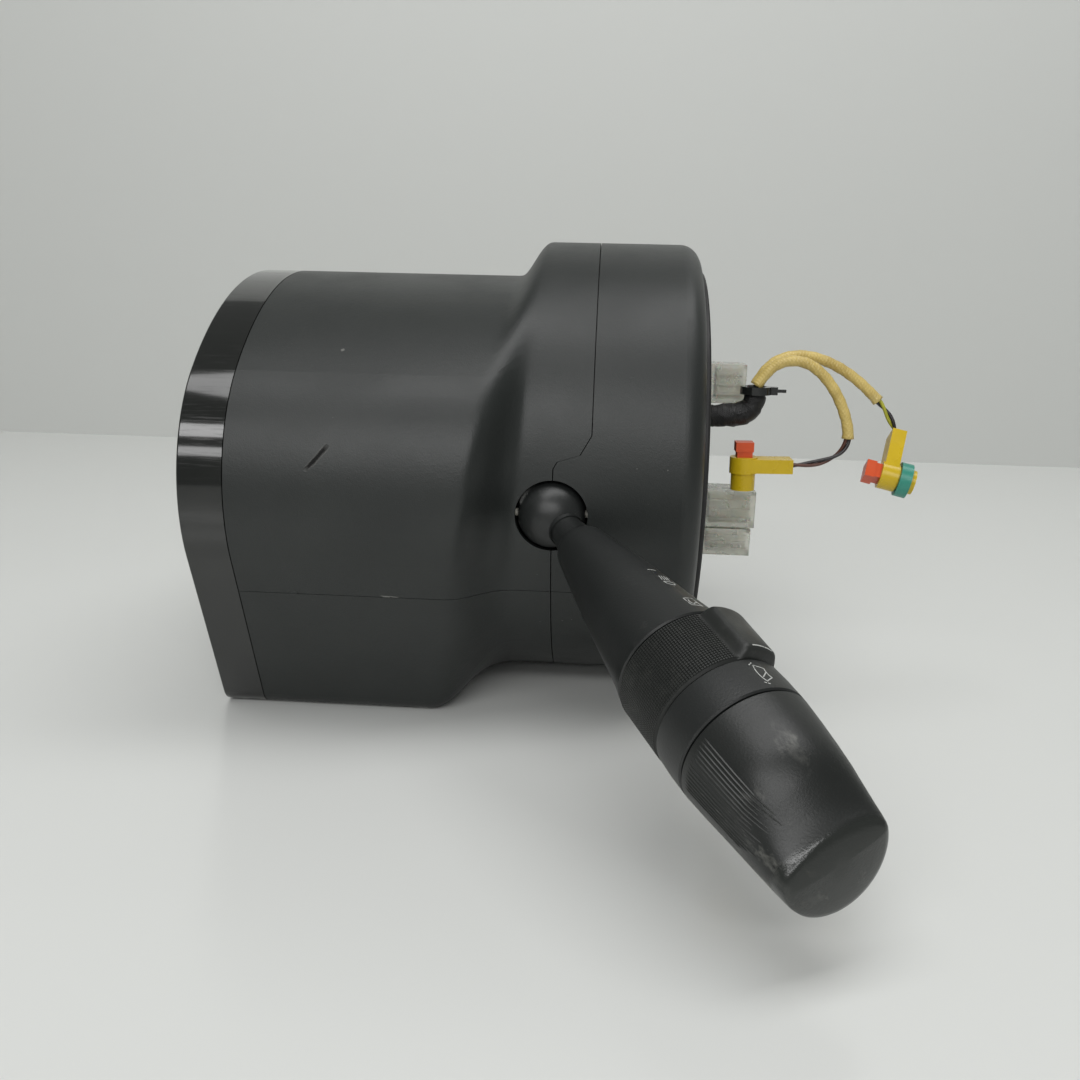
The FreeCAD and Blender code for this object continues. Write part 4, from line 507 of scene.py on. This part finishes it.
def frames_along(line):
    """At each point of the line: a matrix whose Z is the line's direction."""
    across = None
    result = []
    for k, point in enumerate(line):
        ahead = (line[min(k + 1, len(line) - 1)] - line[max(k - 1, 0)]).normalized()
        if across is None:
            across = ahead.orthogonal()
        across = (across - ahead * across.dot(ahead)).normalized()
        place = Matrix((across, ahead.cross(across), ahead)).transposed().to_4x4()
        place.translation = point
        result.append(place)
    return result


def tube(mesh, line, radius_at, sides=16, shift=0.0, turns=0.0, material=0, rough_at=None):
    """Circles across the line, bridged one to the next; shift and turns lay it beside the line."""
    before = set(mesh.faces)
    loops = []
    places = frames_along(line)
    for k, place in enumerate(places):
        share = k / (len(places) - 1)
        swing = Matrix.Rotation(2 * math.pi * turns * share, 4, "Z")
        end = k in (0, len(places) - 1)
        ring = bmesh.ops.create_circle(mesh, cap_ends=end, segments=sides, radius=radius_at(share),
                                       matrix=place @ swing @ Matrix.Translation((shift, 0, 0)))["verts"]
        if rough_at:
            for corner in ring:
                arm = corner.co - place.translation
                angle = math.atan2(arm.dot(place.col[1].xyz), arm.dot(place.col[0].xyz))
                corner.co += arm * rough_at(share, angle)
        loops.append(set(ring))
    for first, second in zip(loops, loops[1:]):
        rims = {edge for rim in (first, second) for corner in rim for edge in corner.link_edges
                if edge.other_vert(corner) in rim}
        bmesh.ops.bridge_loops(mesh, edges=list(rims))
    for face in mesh.faces:
        if face not in before:
            face.smooth = len(face.verts) == 4
            face.material_index = material


def route(points):
    return [Vector(point) * MM for point in points]


# Stalks


def smooth_step(share):
    share = min(1.0, max(0.0, share))
    return share * share * (3 - 2 * share)


def spun(stalk, profile, form=None, steps=96):
    """Turns pairs of places along and out from a stalk's axis into a closed skin."""
    mesh = bmesh.new()
    corners = [mesh.verts.new((along * MM, radius * MM, 0)) for along, radius in profile]
    edges = [mesh.edges.new(pair) for pair in zip(corners, corners[1:])]
    bmesh.ops.spin(mesh, geom=corners + edges, axis=(1, 0, 0), cent=(0, 0, 0), angle=2 * math.pi,
                   steps=steps, use_merge=True)
    bmesh.ops.remove_doubles(mesh, verts=mesh.verts, dist=0.001 * MM)
    if form:
        for corner in mesh.verts:
            corner.co = form(corner.co)
    mesh.transform(stalk.place)
    return mesh


def smooth_skin(mesh, flat_above=30.0):
    """Smooth shading, with the edges left sharp where faces meet at a steep angle."""
    for face in mesh.faces:
        face.smooth = True
    for edge in mesh.edges:
        if len(edge.link_faces) == 2 and edge.calc_face_angle(0.0) > math.radians(flat_above):
            edge.smooth = False


def add_mesh(mesh, part):
    """Moves all of one bmesh into another."""
    data = bpy.data.meshes.new("part")
    part.to_mesh(data)
    part.free()
    mesh.from_mesh(data)
    bpy.data.meshes.remove(data)


def skin_of(piece):
    corners = [vertex.co for vertex in piece.data.vertices]
    return BVHTree.FromPolygons(corners, [face.vertices for face in piece.data.polygons])


# Places along the stalk, measured on the photograph, and radii, in millimetres
SEAM = 0.2
NECK_CUT = 10.8
RING_START = 76.5
RING_END = 94.5
COLLAR_END = 105.5
CAP_END = 138.3
GRIP_RADIUS = 16.6
CORE_RADIUS = 6.0
CORE_END = COLLAR_END + 9.0
SHANK_OUTLINE = [(9.0, 0.0), (9.0, 4.9), (12.0, 5.0), (16.0, 5.6), (19.6, 6.6), (20.4, 7.4), (22.0, 7.8),
                 (33.0, 9.7), (45.0, 11.7), (55.0, 13.1), (64.0, 14.3), (71.0, 15.4),
                 (RING_START - SEAM - 0.4, GRIP_RADIUS - 0.1), (RING_START - SEAM, GRIP_RADIUS - 0.5),
                 (RING_START - SEAM, CORE_RADIUS), (CORE_END, CORE_RADIUS), (CORE_END, 0.0)]


def shank(stalk):
    """Ball and neck as the frame has them, and a shank that widens to the grip ring."""
    mesh = bmesh.new()
    mesh.from_mesh(nodes[stalk.part("lever")].data)
    bmesh.ops.remove_doubles(mesh, verts=mesh.verts, dist=0.001 * MM)
    ahead = stalk.place.col[0].xyz
    bmesh.ops.bisect_plane(mesh, geom=mesh.verts[:] + mesh.edges[:] + mesh.faces[:],
                           plane_co=stalk.point(NECK_CUT * MM, 0, 0), plane_no=ahead, clear_outer=True)
    smooth_skin(mesh, 35.0)
    arm = spun(stalk, SHANK_OUTLINE)
    smooth_skin(arm)
    add_mesh(mesh, arm)
    piece = piece_from(stalk.part("shank"), mesh, stalk.part("lever"),
                       [FINISHES["stalk_plastic"]])
    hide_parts(stalk.part("lever"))
    return piece


RING_LENGTH = RING_END - RING_START - 2 * SEAM
RING_CHAMFER = 0.5
KNURL_PITCH = 0.68
KNURL_GROOVE = 0.17
KNURL_HEIGHT = 0.24
TAB_RISE = math.radians(66.0)
TAB_HALF = math.radians(24.0)
TAB_HEIGHT = 3.1
TAB_ROOT = 0.25


def knurl(stalk):
    """Small square knobs in rows, round all of the ring but its thumb tab."""
    start = RING_START + SEAM + RING_CHAMFER
    length = RING_LENGTH - 2 * RING_CHAMFER
    span = 2 * math.pi - 2 * TAB_HALF
    rows = round(length / KNURL_PITCH)
    columns = round(span * GRIP_RADIUS / KNURL_PITCH)
    mesh = bmesh.new()
    bmesh.ops.create_grid(mesh, x_segments=rows, y_segments=columns, size=0.5)
    bmesh.ops.scale(mesh, verts=mesh.verts, vec=(length * MM, span * GRIP_RADIUS * MM, 1))
    bmesh.ops.inset_individual(mesh, faces=mesh.faces[:], thickness=KNURL_GROOVE * MM,
                               depth=KNURL_HEIGHT * MM)
    for corner in mesh.verts:
        along = start * MM + length / 2 * MM + corner.co.x
        rise = TAB_RISE + math.pi + corner.co.y / (GRIP_RADIUS * MM)
        corner.co = stalk.point(along, rise, GRIP_RADIUS * MM + corner.co.z)
    return mesh


def thumb_tab(stalk):
    """Raised tab across the ring, steep at its sides and rounded at its ends."""
    mesh = bmesh.new()
    bmesh.ops.create_grid(mesh, x_segments=40, y_segments=40, size=1.0)
    half = RING_LENGTH / 2 - 0.1
    middle = (RING_START + RING_END) / 2
    for corner in mesh.verts:
        across = abs(corner.co.y)
        side = smooth_step((1.0 - across) / 0.42)
        near_end = max(0.0, (abs(corner.co.x) - 0.76) / 0.24)
        crown = math.sqrt(max(0.0, 1.0 - near_end ** 2)) * (1.0 - 0.10 * across ** 2)
        height = TAB_HEIGHT * side * crown * (1.0 - 0.10 * corner.co.x) - TAB_ROOT
        corner.co = stalk.point((middle + half * corner.co.x) * MM, TAB_RISE + TAB_HALF * corner.co.y,
                                (GRIP_RADIUS + height) * MM)
    return mesh


def grip_ring(stalk):
    """Ring that turns on the stalk's core, knurled round all but its tab."""
    start, end, bore = RING_START + SEAM, RING_END - SEAM, CORE_RADIUS + 0.1
    mesh = spun(stalk, [
        (start, bore), (start, GRIP_RADIUS - 0.6), (start + RING_CHAMFER, GRIP_RADIUS),
        (end - RING_CHAMFER, GRIP_RADIUS), (end, GRIP_RADIUS - 0.6), (end, bore), (start, bore)])
    smooth_skin(mesh)
    for part, smooth in ((thumb_tab(stalk), True), (knurl(stalk), False)):
        for face in part.faces:
            face.smooth = smooth
        add_mesh(mesh, part)
    piece = piece_from(stalk.part("grip_ring"), mesh, stalk.part("ring"), [KNURL_PLASTIC])
    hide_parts(stalk.part("ring"))
    return piece


def collar(stalk):
    """Smooth band between the grip ring and the cap."""
    start, end, bore = RING_END + SEAM, COLLAR_END - SEAM, CORE_RADIUS + 0.1
    mesh = spun(stalk, [
        (start, bore), (start, GRIP_RADIUS - 0.3), (start + 0.4, GRIP_RADIUS + 0.15),
        (RING_END + 5, GRIP_RADIUS + 0.3), (end - 0.4, GRIP_RADIUS + 0.2), (end, GRIP_RADIUS - 0.2),
        (end, bore), (start, bore)])
    smooth_skin(mesh)
    piece = piece_from(stalk.part("collar_band"), mesh, stalk.part("lever"),
                       [FINISHES["stalk_plastic"]])
    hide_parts(stalk.part("collar"))
    return piece


CAP_FLAT_RISE = math.radians(112.0)
CAP_FLAT_START = 121.0
CAP_FLAT_RUN = 18.5
CAP_FLAT_DEPTH = 0.56
CAP_SLANT = 0.22
CAP_SLANT_START = 118.0
CAP_SLANT_RUN = 20.0
CAP_OUTLINE = [(COLLAR_END + SEAM, 0.0), (COLLAR_END + SEAM, GRIP_RADIUS - 0.25),
               (106.1, GRIP_RADIUS + 0.15), (112.0, 16.2), (118.0, 15.5), (124.0, 14.8), (129.0, 14.2),
               (133.0, 13.7), (135.6, 13.35), (CAP_END - 1.4, 13.1), (CAP_END - 0.7, 12.8),
               (CAP_END - 0.25, 12.2), (CAP_END, 11.2), (CAP_END + 0.25, 8.5), (CAP_END + 0.45, 4.5),
               (CAP_END + 0.5, 0.0)]


def end_cap(stalk, body):
    """Tapering cap: its upper side rolls down to a slanting, slightly domed end."""
    facing = Vector((math.cos(CAP_FLAT_RISE), math.sin(CAP_FLAT_RISE)))

    def form(place):
        near_tip = smooth_step((place.x / MM - CAP_FLAT_START) / CAP_FLAT_RUN)
        spot = Vector((-stalk.side * place.y, place.z))
        above = spot.dot(facing)
        if above > 0:
            spot -= facing * above * CAP_FLAT_DEPTH * near_tip
        near_end = smooth_step((place.x / MM - CAP_SLANT_START) / CAP_SLANT_RUN)
        slant = -CAP_SLANT * place.z * near_end
        return Vector((place.x + slant, -stalk.side * spot.x, spot.y))

    mesh = spun(stalk, CAP_OUTLINE, form, 120)
    smooth_skin(mesh, 50.0)
    piece = piece_from(stalk.part("cap"), mesh, body, [cap_plastic(stalk)])
    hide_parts(stalk.part("end_cap"))
    return piece


RIDGES = 15
RIDGE_STEP = math.radians(3.4)
RIDGE_FIRST = math.radians(151.0)
RIDGE_WIDTH = 0.036
RIDGE_HEIGHT = 0.20
RIDGE_START = 107.2
RIDGE_END = 128.5


def cap_ridges(stalk, cap, body):
    """Fine ridges along the cap's far lower side, for the fingers."""
    skin = skin_of(cap)
    mesh = bmesh.new()
    for count in range(RIDGES):
        end = RIDGE_END + 2.0 * math.sin(count * 1.7)
        grid = bmesh.ops.create_grid(mesh, x_segments=26, y_segments=2, size=0.5)["verts"]
        for corner in grid:
            along = RIDGE_START + (end - RIDGE_START) * (corner.co.x + 0.5)
            fade = min(1.0, (0.5 - abs(corner.co.x)) * 14)
            lift = RIDGE_HEIGHT * fade if abs(corner.co.y) < 0.1 else -0.04
            rise = RIDGE_FIRST + RIDGE_STEP * count + corner.co.y * RIDGE_WIDTH
            corner.co = stalk.spot(skin, along * MM, rise, lift * MM)
    for face in mesh.faces:
        face.smooth = False
    return piece_from(stalk.part("cap_ridges"), mesh, body, [KNURL_PLASTIC])


# White marks, in millimetres as the driver sees them: X to the right, Y up


def arc(x, y, radius, first, last, count=8):
    turns = [math.radians(first + (last - first) * k / count) for k in range(count + 1)]
    return [(x + radius * math.cos(turn), y + radius * math.sin(turn)) for turn in turns]


LAMP_BEAMS = [[(0.5, y), (2.9, y - 0.5)] for y in (1.5, 0.65, -0.2, -1.05)]
LAMP_MARK = [arc(-0.4, 0, 1.7, 90, 270) + [(-0.4, 1.7)]] + LAMP_BEAMS
DASH_MARK = [[(0.0, -1.4), (0.0, 1.4)]]
REAR_SCREEN_MARK = [[(-2.3, -1.5), (2.3, -1.5), (1.9, 1.5), (-1.9, 1.5), (-2.3, -1.5)],
                    [(0.0, -1.5), (-1.1, 0.5)], arc(0.0, -1.5, 2.3, 60, 130)]
SCREEN = arc(0.0, -5.2, 7.0, 62, 118) + arc(0.0, -5.2, 4.0, 118, 62) + arc(0.0, -5.2, 7.0, 62, 62, 1)
SCREEN_MARK = [SCREEN, [(0.3, -1.2), (-1.6, 1.1)], [(-3.9, 1.6), (-3.5, 2.2)], [(-4.4, 0.8), (-4.0, 1.3)],
               [(3.9, 1.6), (3.5, 2.2)], [(4.4, 0.8), (4.0, 1.3)]]
TAB_MARK = [[(0.0, -3.4), (0.0, 3.4)]]
TURN_MARK = [[(2.6 * a, 0.0), (0.9 * a, 1.5 * b), (0.9 * a, 0.6 * b), (0.1 * a, 0.6 * b)]
             for a, b in ((-1, 1), (-1, -1), (1, 1), (1, -1))]
STROKE = 0.30
STROKE_STEP = 0.4


def mark(name, stalk, piece, body, along, rise, strokes, size=1.0):
    """Strokes wrapped onto a stalk's piece, thin enough to look printed."""
    curve = bpy.data.curves.new(name, "CURVE")
    curve.dimensions = "3D"
    curve.bevel_depth = STROKE / 2
    curve.bevel_resolution = 1
    curve.use_fill_caps = True
    for stroke in strokes:
        fine = [stroke[0]]
        for (x, y), (next_x, next_y) in zip(stroke, stroke[1:]):
            pieces = max(1, math.ceil(math.hypot(next_x - x, next_y - y) / STROKE_STEP))
            fine += [(x + (next_x - x) * k / pieces, y + (next_y - y) * k / pieces)
                     for k in range(1, pieces + 1)]
        spline = curve.splines.new("POLY")
        spline.points.add(len(fine) - 1)
        for spot, (x, y) in zip(spline.points, fine):
            spot.co = (x * size, y * size, 0, 1)
    data = mesh_of_curve(curve)
    skin = skin_of(piece)
    reach = (stalk.spot(skin, along * MM, rise) - stalk.point(along * MM, rise, 0)).length / MM
    mesh = bmesh.new()
    mesh.from_mesh(data)
    bpy.data.meshes.remove(data)
    for corner in mesh.verts:
        x, y, z = corner.co
        corner.co = stalk.spot(skin, (along + stalk.side * x) * MM, rise + y / reach, (0.02 + z * 0.3) * MM)
    return piece_from(name, mesh, body, [WHITE_PRINT])


KNURL_PLASTIC = knurl_plastic()
WHITE_PRINT = white_print()
for stalk, cap_body in ((WIPER, "wiper_lever"), (LIGHT, "light_end_cap")):
    lever = stalk.part("lever")
    arm = shank(stalk)
    ring = grip_ring(stalk)
    band = collar(stalk)
    cap = end_cap(stalk, cap_body)
    cap_ridges(stalk, cap, cap_body)
    mark(stalk.part("tab_mark"), stalk, ring, stalk.part("ring"), 92.6, TAB_RISE, TAB_MARK)
    if stalk is WIPER:
        mark("wiper_lamp_mark", stalk, arm, lever, 58.0, math.radians(73), LAMP_MARK)
        mark("wiper_dash_mark", stalk, arm, lever, 51.5, math.radians(76), DASH_MARK)
        mark("wiper_rear_screen_mark", stalk, arm, lever, 70.0, math.radians(77), REAR_SCREEN_MARK)
        mark("wiper_screen_mark", stalk, band, lever, 100.0, math.radians(80), SCREEN_MARK, 0.85)
    else:
        mark("light_lamp_mark", stalk, cap, cap_body, 112.0, math.radians(60), LAMP_MARK)
        mark("light_turn_mark", stalk, band, lever, 100.0, math.radians(60), TURN_MARK)
        mark("light_dash_mark", stalk, arm, lever, 72.0, math.radians(60), DASH_MARK)


# Leads to the igniters: their routes' points, in millimetres

LEAD_A = route([
    (62.2, -39.9, 31.0), (65.2, -40.1, 36.2), (70.4, -40.5, 39.2), (76.4, -41.0, 39.1),
    (81.7, -41.5, 35.8), (86.5, -42.0, 30.0), (90.0, -42.4, 22.8), (91.7, -42.5, 16.1),
    (90.3, -42.5, 11.7), (86.5, -42.4, 8.8), (80.3, -42.2, 6.8), (74.5, -42.0, 6.4)])
LEAD_B = route([
    (62.2, -36.1, 31.0), (65.0, -35.9, 36.3), (70.2, -35.5, 39.9), (77.1, -35.2, 40.9),
    (85.3, -35.3, 38.8), (93.5, -35.8, 34.1), (100.6, -36.4, 27.7), (103.7, -36.7, 24.2),
    (106.2, -37.0, 20.1), (107.9, -37.0, 16.5)])
BOOT = route([(46.2, -38.0, 20.9), (58.5, -38.0, 21.1), (62.3, -38.0, 25.2), (62.2, -38.0, 31.0)])


def lead(name, points, sleeve_share, wires):
    """One lead: sleeve over the first part, then its two bare wires to the plug."""
    line = even_line(smooth_line(points), 0.0008)
    split = round(len(line) * sleeve_share)
    mesh = bmesh.new()

    def sleeve_radius(share):
        wave = 0.00006 * math.sin(70 * share) + 0.00004 * math.sin(173 * share)
        flare = 0.00018 * max(0.0, (share - 0.93) / 0.07)
        return 0.0017 + wave + flare

    tube(mesh, line[:split + 1], sleeve_radius)
    for side, slot in ((-1, 1), (1, 2)):
        tube(mesh, line[split - 3:], lambda share: 0.00056, 10, side * 0.00056, 1.0, slot)
    piece = piece_from(name, mesh, "rotor", [FINISHES["yellow_sleeve"], *wires])
    return piece, line


def taped_boot():
    """Start of both leads, bound together with tape wound in overlapping turns."""
    line = even_line(smooth_line(BOOT), 0.0005)
    mesh = bmesh.new()

    def radius(share):
        lap = (share * 7.0) % 1.0
        bulge = 0.0004 * math.sin(math.pi * min(1.0, share * 1.1)) ** 2
        return 0.00325 + bulge + 0.00026 * lap - 0.0006 * max(0.0, (share - 0.94) / 0.06)

    tube(mesh, line, radius, 28, rough_at=lambda share, angle: 0.03 * math.sin(3 * angle + 19 * share)
         + 0.02 * math.sin(7 * angle - 31 * share))
    return piece_from("taped_boot", mesh, "rotor", [FINISHES["cloth_tape"]])


black_wire = FINISHES["wire_insulation"]
brown_wire = glossy_insulation("brown_insulation", (0.09, 0.030, 0.018))
striped_wire = glossy_insulation("yellow_green_insulation", (0.42, 0.42, 0.04))
lead_a, line_a = lead("airbag_lead_a", LEAD_A, 0.68, (black_wire, brown_wire))
lead_b, line_b = lead("airbag_lead_b", LEAD_B, 0.77, (black_wire, striped_wire))
boot = taped_boot()
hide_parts("squib_sleeve_a", "squib_wires_a")
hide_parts("squib_sleeve_b", "squib_wires_b")
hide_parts("harness_boot")
line_length(line_a)
[tuple(p) for p in line_a]
line_length(line_b)
[tuple(p) for p in line_b]


# Floor, wall, lights and camera


def plain_surface(name, colour, roughness):
    material = bpy.data.materials.new(name)
    material.use_nodes = True
    surface = material.node_tree.nodes["Principled BSDF"]
    surface.inputs["Base Color"].default_value = (*colour, 1.0)
    surface.inputs["Roughness"].default_value = roughness
    return material


def clear_from_behind(material):
    """Lets a view from behind the surface look through it."""
    tree = material.node_tree
    mix = tree.nodes.new("ShaderNodeMixShader")
    tree.links.new(tree.nodes.new("ShaderNodeNewGeometry").outputs["Backfacing"], mix.inputs["Fac"])
    tree.links.new(tree.nodes["Principled BSDF"].outputs["BSDF"], mix.inputs[1])
    tree.links.new(tree.nodes.new("ShaderNodeBsdfTransparent").outputs["BSDF"], mix.inputs[2])
    tree.links.new(mix.outputs["Shader"], tree.nodes["Material Output"].inputs["Surface"])
    return material


BENCH_BACK = 0.500
WALL_HEIGHT = 0.80
STAGE_HALF = 1.8


def slab_of_stage(name, outline, facing, material):
    """A wide surface pulled along X from a line in the Y-Z plane; its front faces one way."""
    mesh = bmesh.new()
    corners = [mesh.verts.new((-STAGE_HALF, y, z)) for y, z in outline]
    edges = [mesh.edges.new(pair) for pair in zip(corners, corners[1:])]
    pulled = bmesh.ops.extrude_edge_only(mesh, edges=edges)["geom"]
    far_side = [part for part in pulled if isinstance(part, bmesh.types.BMVert)]
    bmesh.ops.translate(mesh, verts=far_side, vec=(2 * STAGE_HALF, 0, 0))
    mesh.normal_update()
    bmesh.ops.reverse_faces(mesh, faces=[face for face in mesh.faces if face.normal.dot(facing) < 0])
    data = bpy.data.meshes.new(name)
    mesh.to_mesh(data)
    mesh.free()
    data.materials.append(material)
    surface = bpy.data.objects.new(name, data)
    bpy.context.scene.collection.objects.link(surface)


def soft_lamp(name, place, aim, width, height, power):
    lamp = bpy.data.lights.new(name, "AREA")
    lamp.shape = "RECTANGLE"
    lamp.size = width
    lamp.size_y = height
    lamp.energy = power
    holder = bpy.data.objects.new(name, lamp)
    bpy.context.scene.collection.objects.link(holder)
    direction = Vector(aim) - Vector(place)
    holder.matrix_world = Matrix.Translation(place) @ direction.to_track_quat("-Z", "Y").to_matrix().to_4x4()


SENSOR_WIDTH = 36.0
PHOTO_WIDTH = 1080.0
FOCAL_LENGTH = 1000.0


def camera():
    """The photograph's camera, fitted to the module's edges; its focal length is in pixels."""
    yaw, pitch, roll = math.radians(-3.60), math.radians(14.0), math.radians(1.395)
    forward = Vector((math.sin(yaw) * math.cos(pitch), math.cos(yaw) * math.cos(pitch), -math.sin(pitch)))
    level = Vector((math.cos(yaw), -math.sin(yaw), 0))
    rise = level.cross(forward)
    right = level * math.cos(roll) + rise * math.sin(roll)
    up = rise * math.cos(roll) - level * math.sin(roll)
    lens = bpy.data.cameras.new("photo_camera")
    lens.sensor_width = SENSOR_WIDTH
    lens.lens = SENSOR_WIDTH * FOCAL_LENGTH / PHOTO_WIDTH
    lens.clip_start = 0.01
    holder = bpy.data.objects.new("photo_camera", lens)
    bpy.context.scene.collection.objects.link(holder)
    axes = Matrix((right, up, -forward)).transposed().to_4x4()
    holder.matrix_world = Matrix.Translation((0.0150, -0.3623, 0.0586)) @ axes
    bpy.context.scene.camera = holder


floor_level = cad_low.z - 0.0002
slab_of_stage("bench", [(-STAGE_HALF, floor_level), (STAGE_HALF, floor_level)], Vector((0, 0, 1)),
              plain_surface("pale_bench", (0.74, 0.75, 0.73), 0.22))
slab_of_stage("back_wall", [(BENCH_BACK, floor_level), (BENCH_BACK, floor_level + WALL_HEIGHT)],
              Vector((0, -1, 0)), clear_from_behind(plain_surface("pale_wall", (0.60, 0.61, 0.59), 0.5)))
soft_lamp("ceiling", (0.1, -0.15, 1.15), (0.0, 0.05, 0.0), 1.6, 0.5, 9.0)
soft_lamp("high_panel", (-0.15, -1.35, 0.95), (0.0, 0.0, 0.0), 1.7, 0.26, 9.0)
soft_lamp("low_panel", (-0.15, -1.55, 0.58), (0.0, 0.0, 0.0), 1.7, 0.18, 5.0)
camera()
world = bpy.data.worlds.new("room")
world.use_nodes = True
world.node_tree.nodes["Background"].inputs["Color"].default_value = (0.78, 0.80, 0.78, 1.0)
world.node_tree.nodes["Background"].inputs["Strength"].default_value = 0.22
bpy.context.scene.world = world
bpy.context.scene.view_settings.view_transform = "Standard"
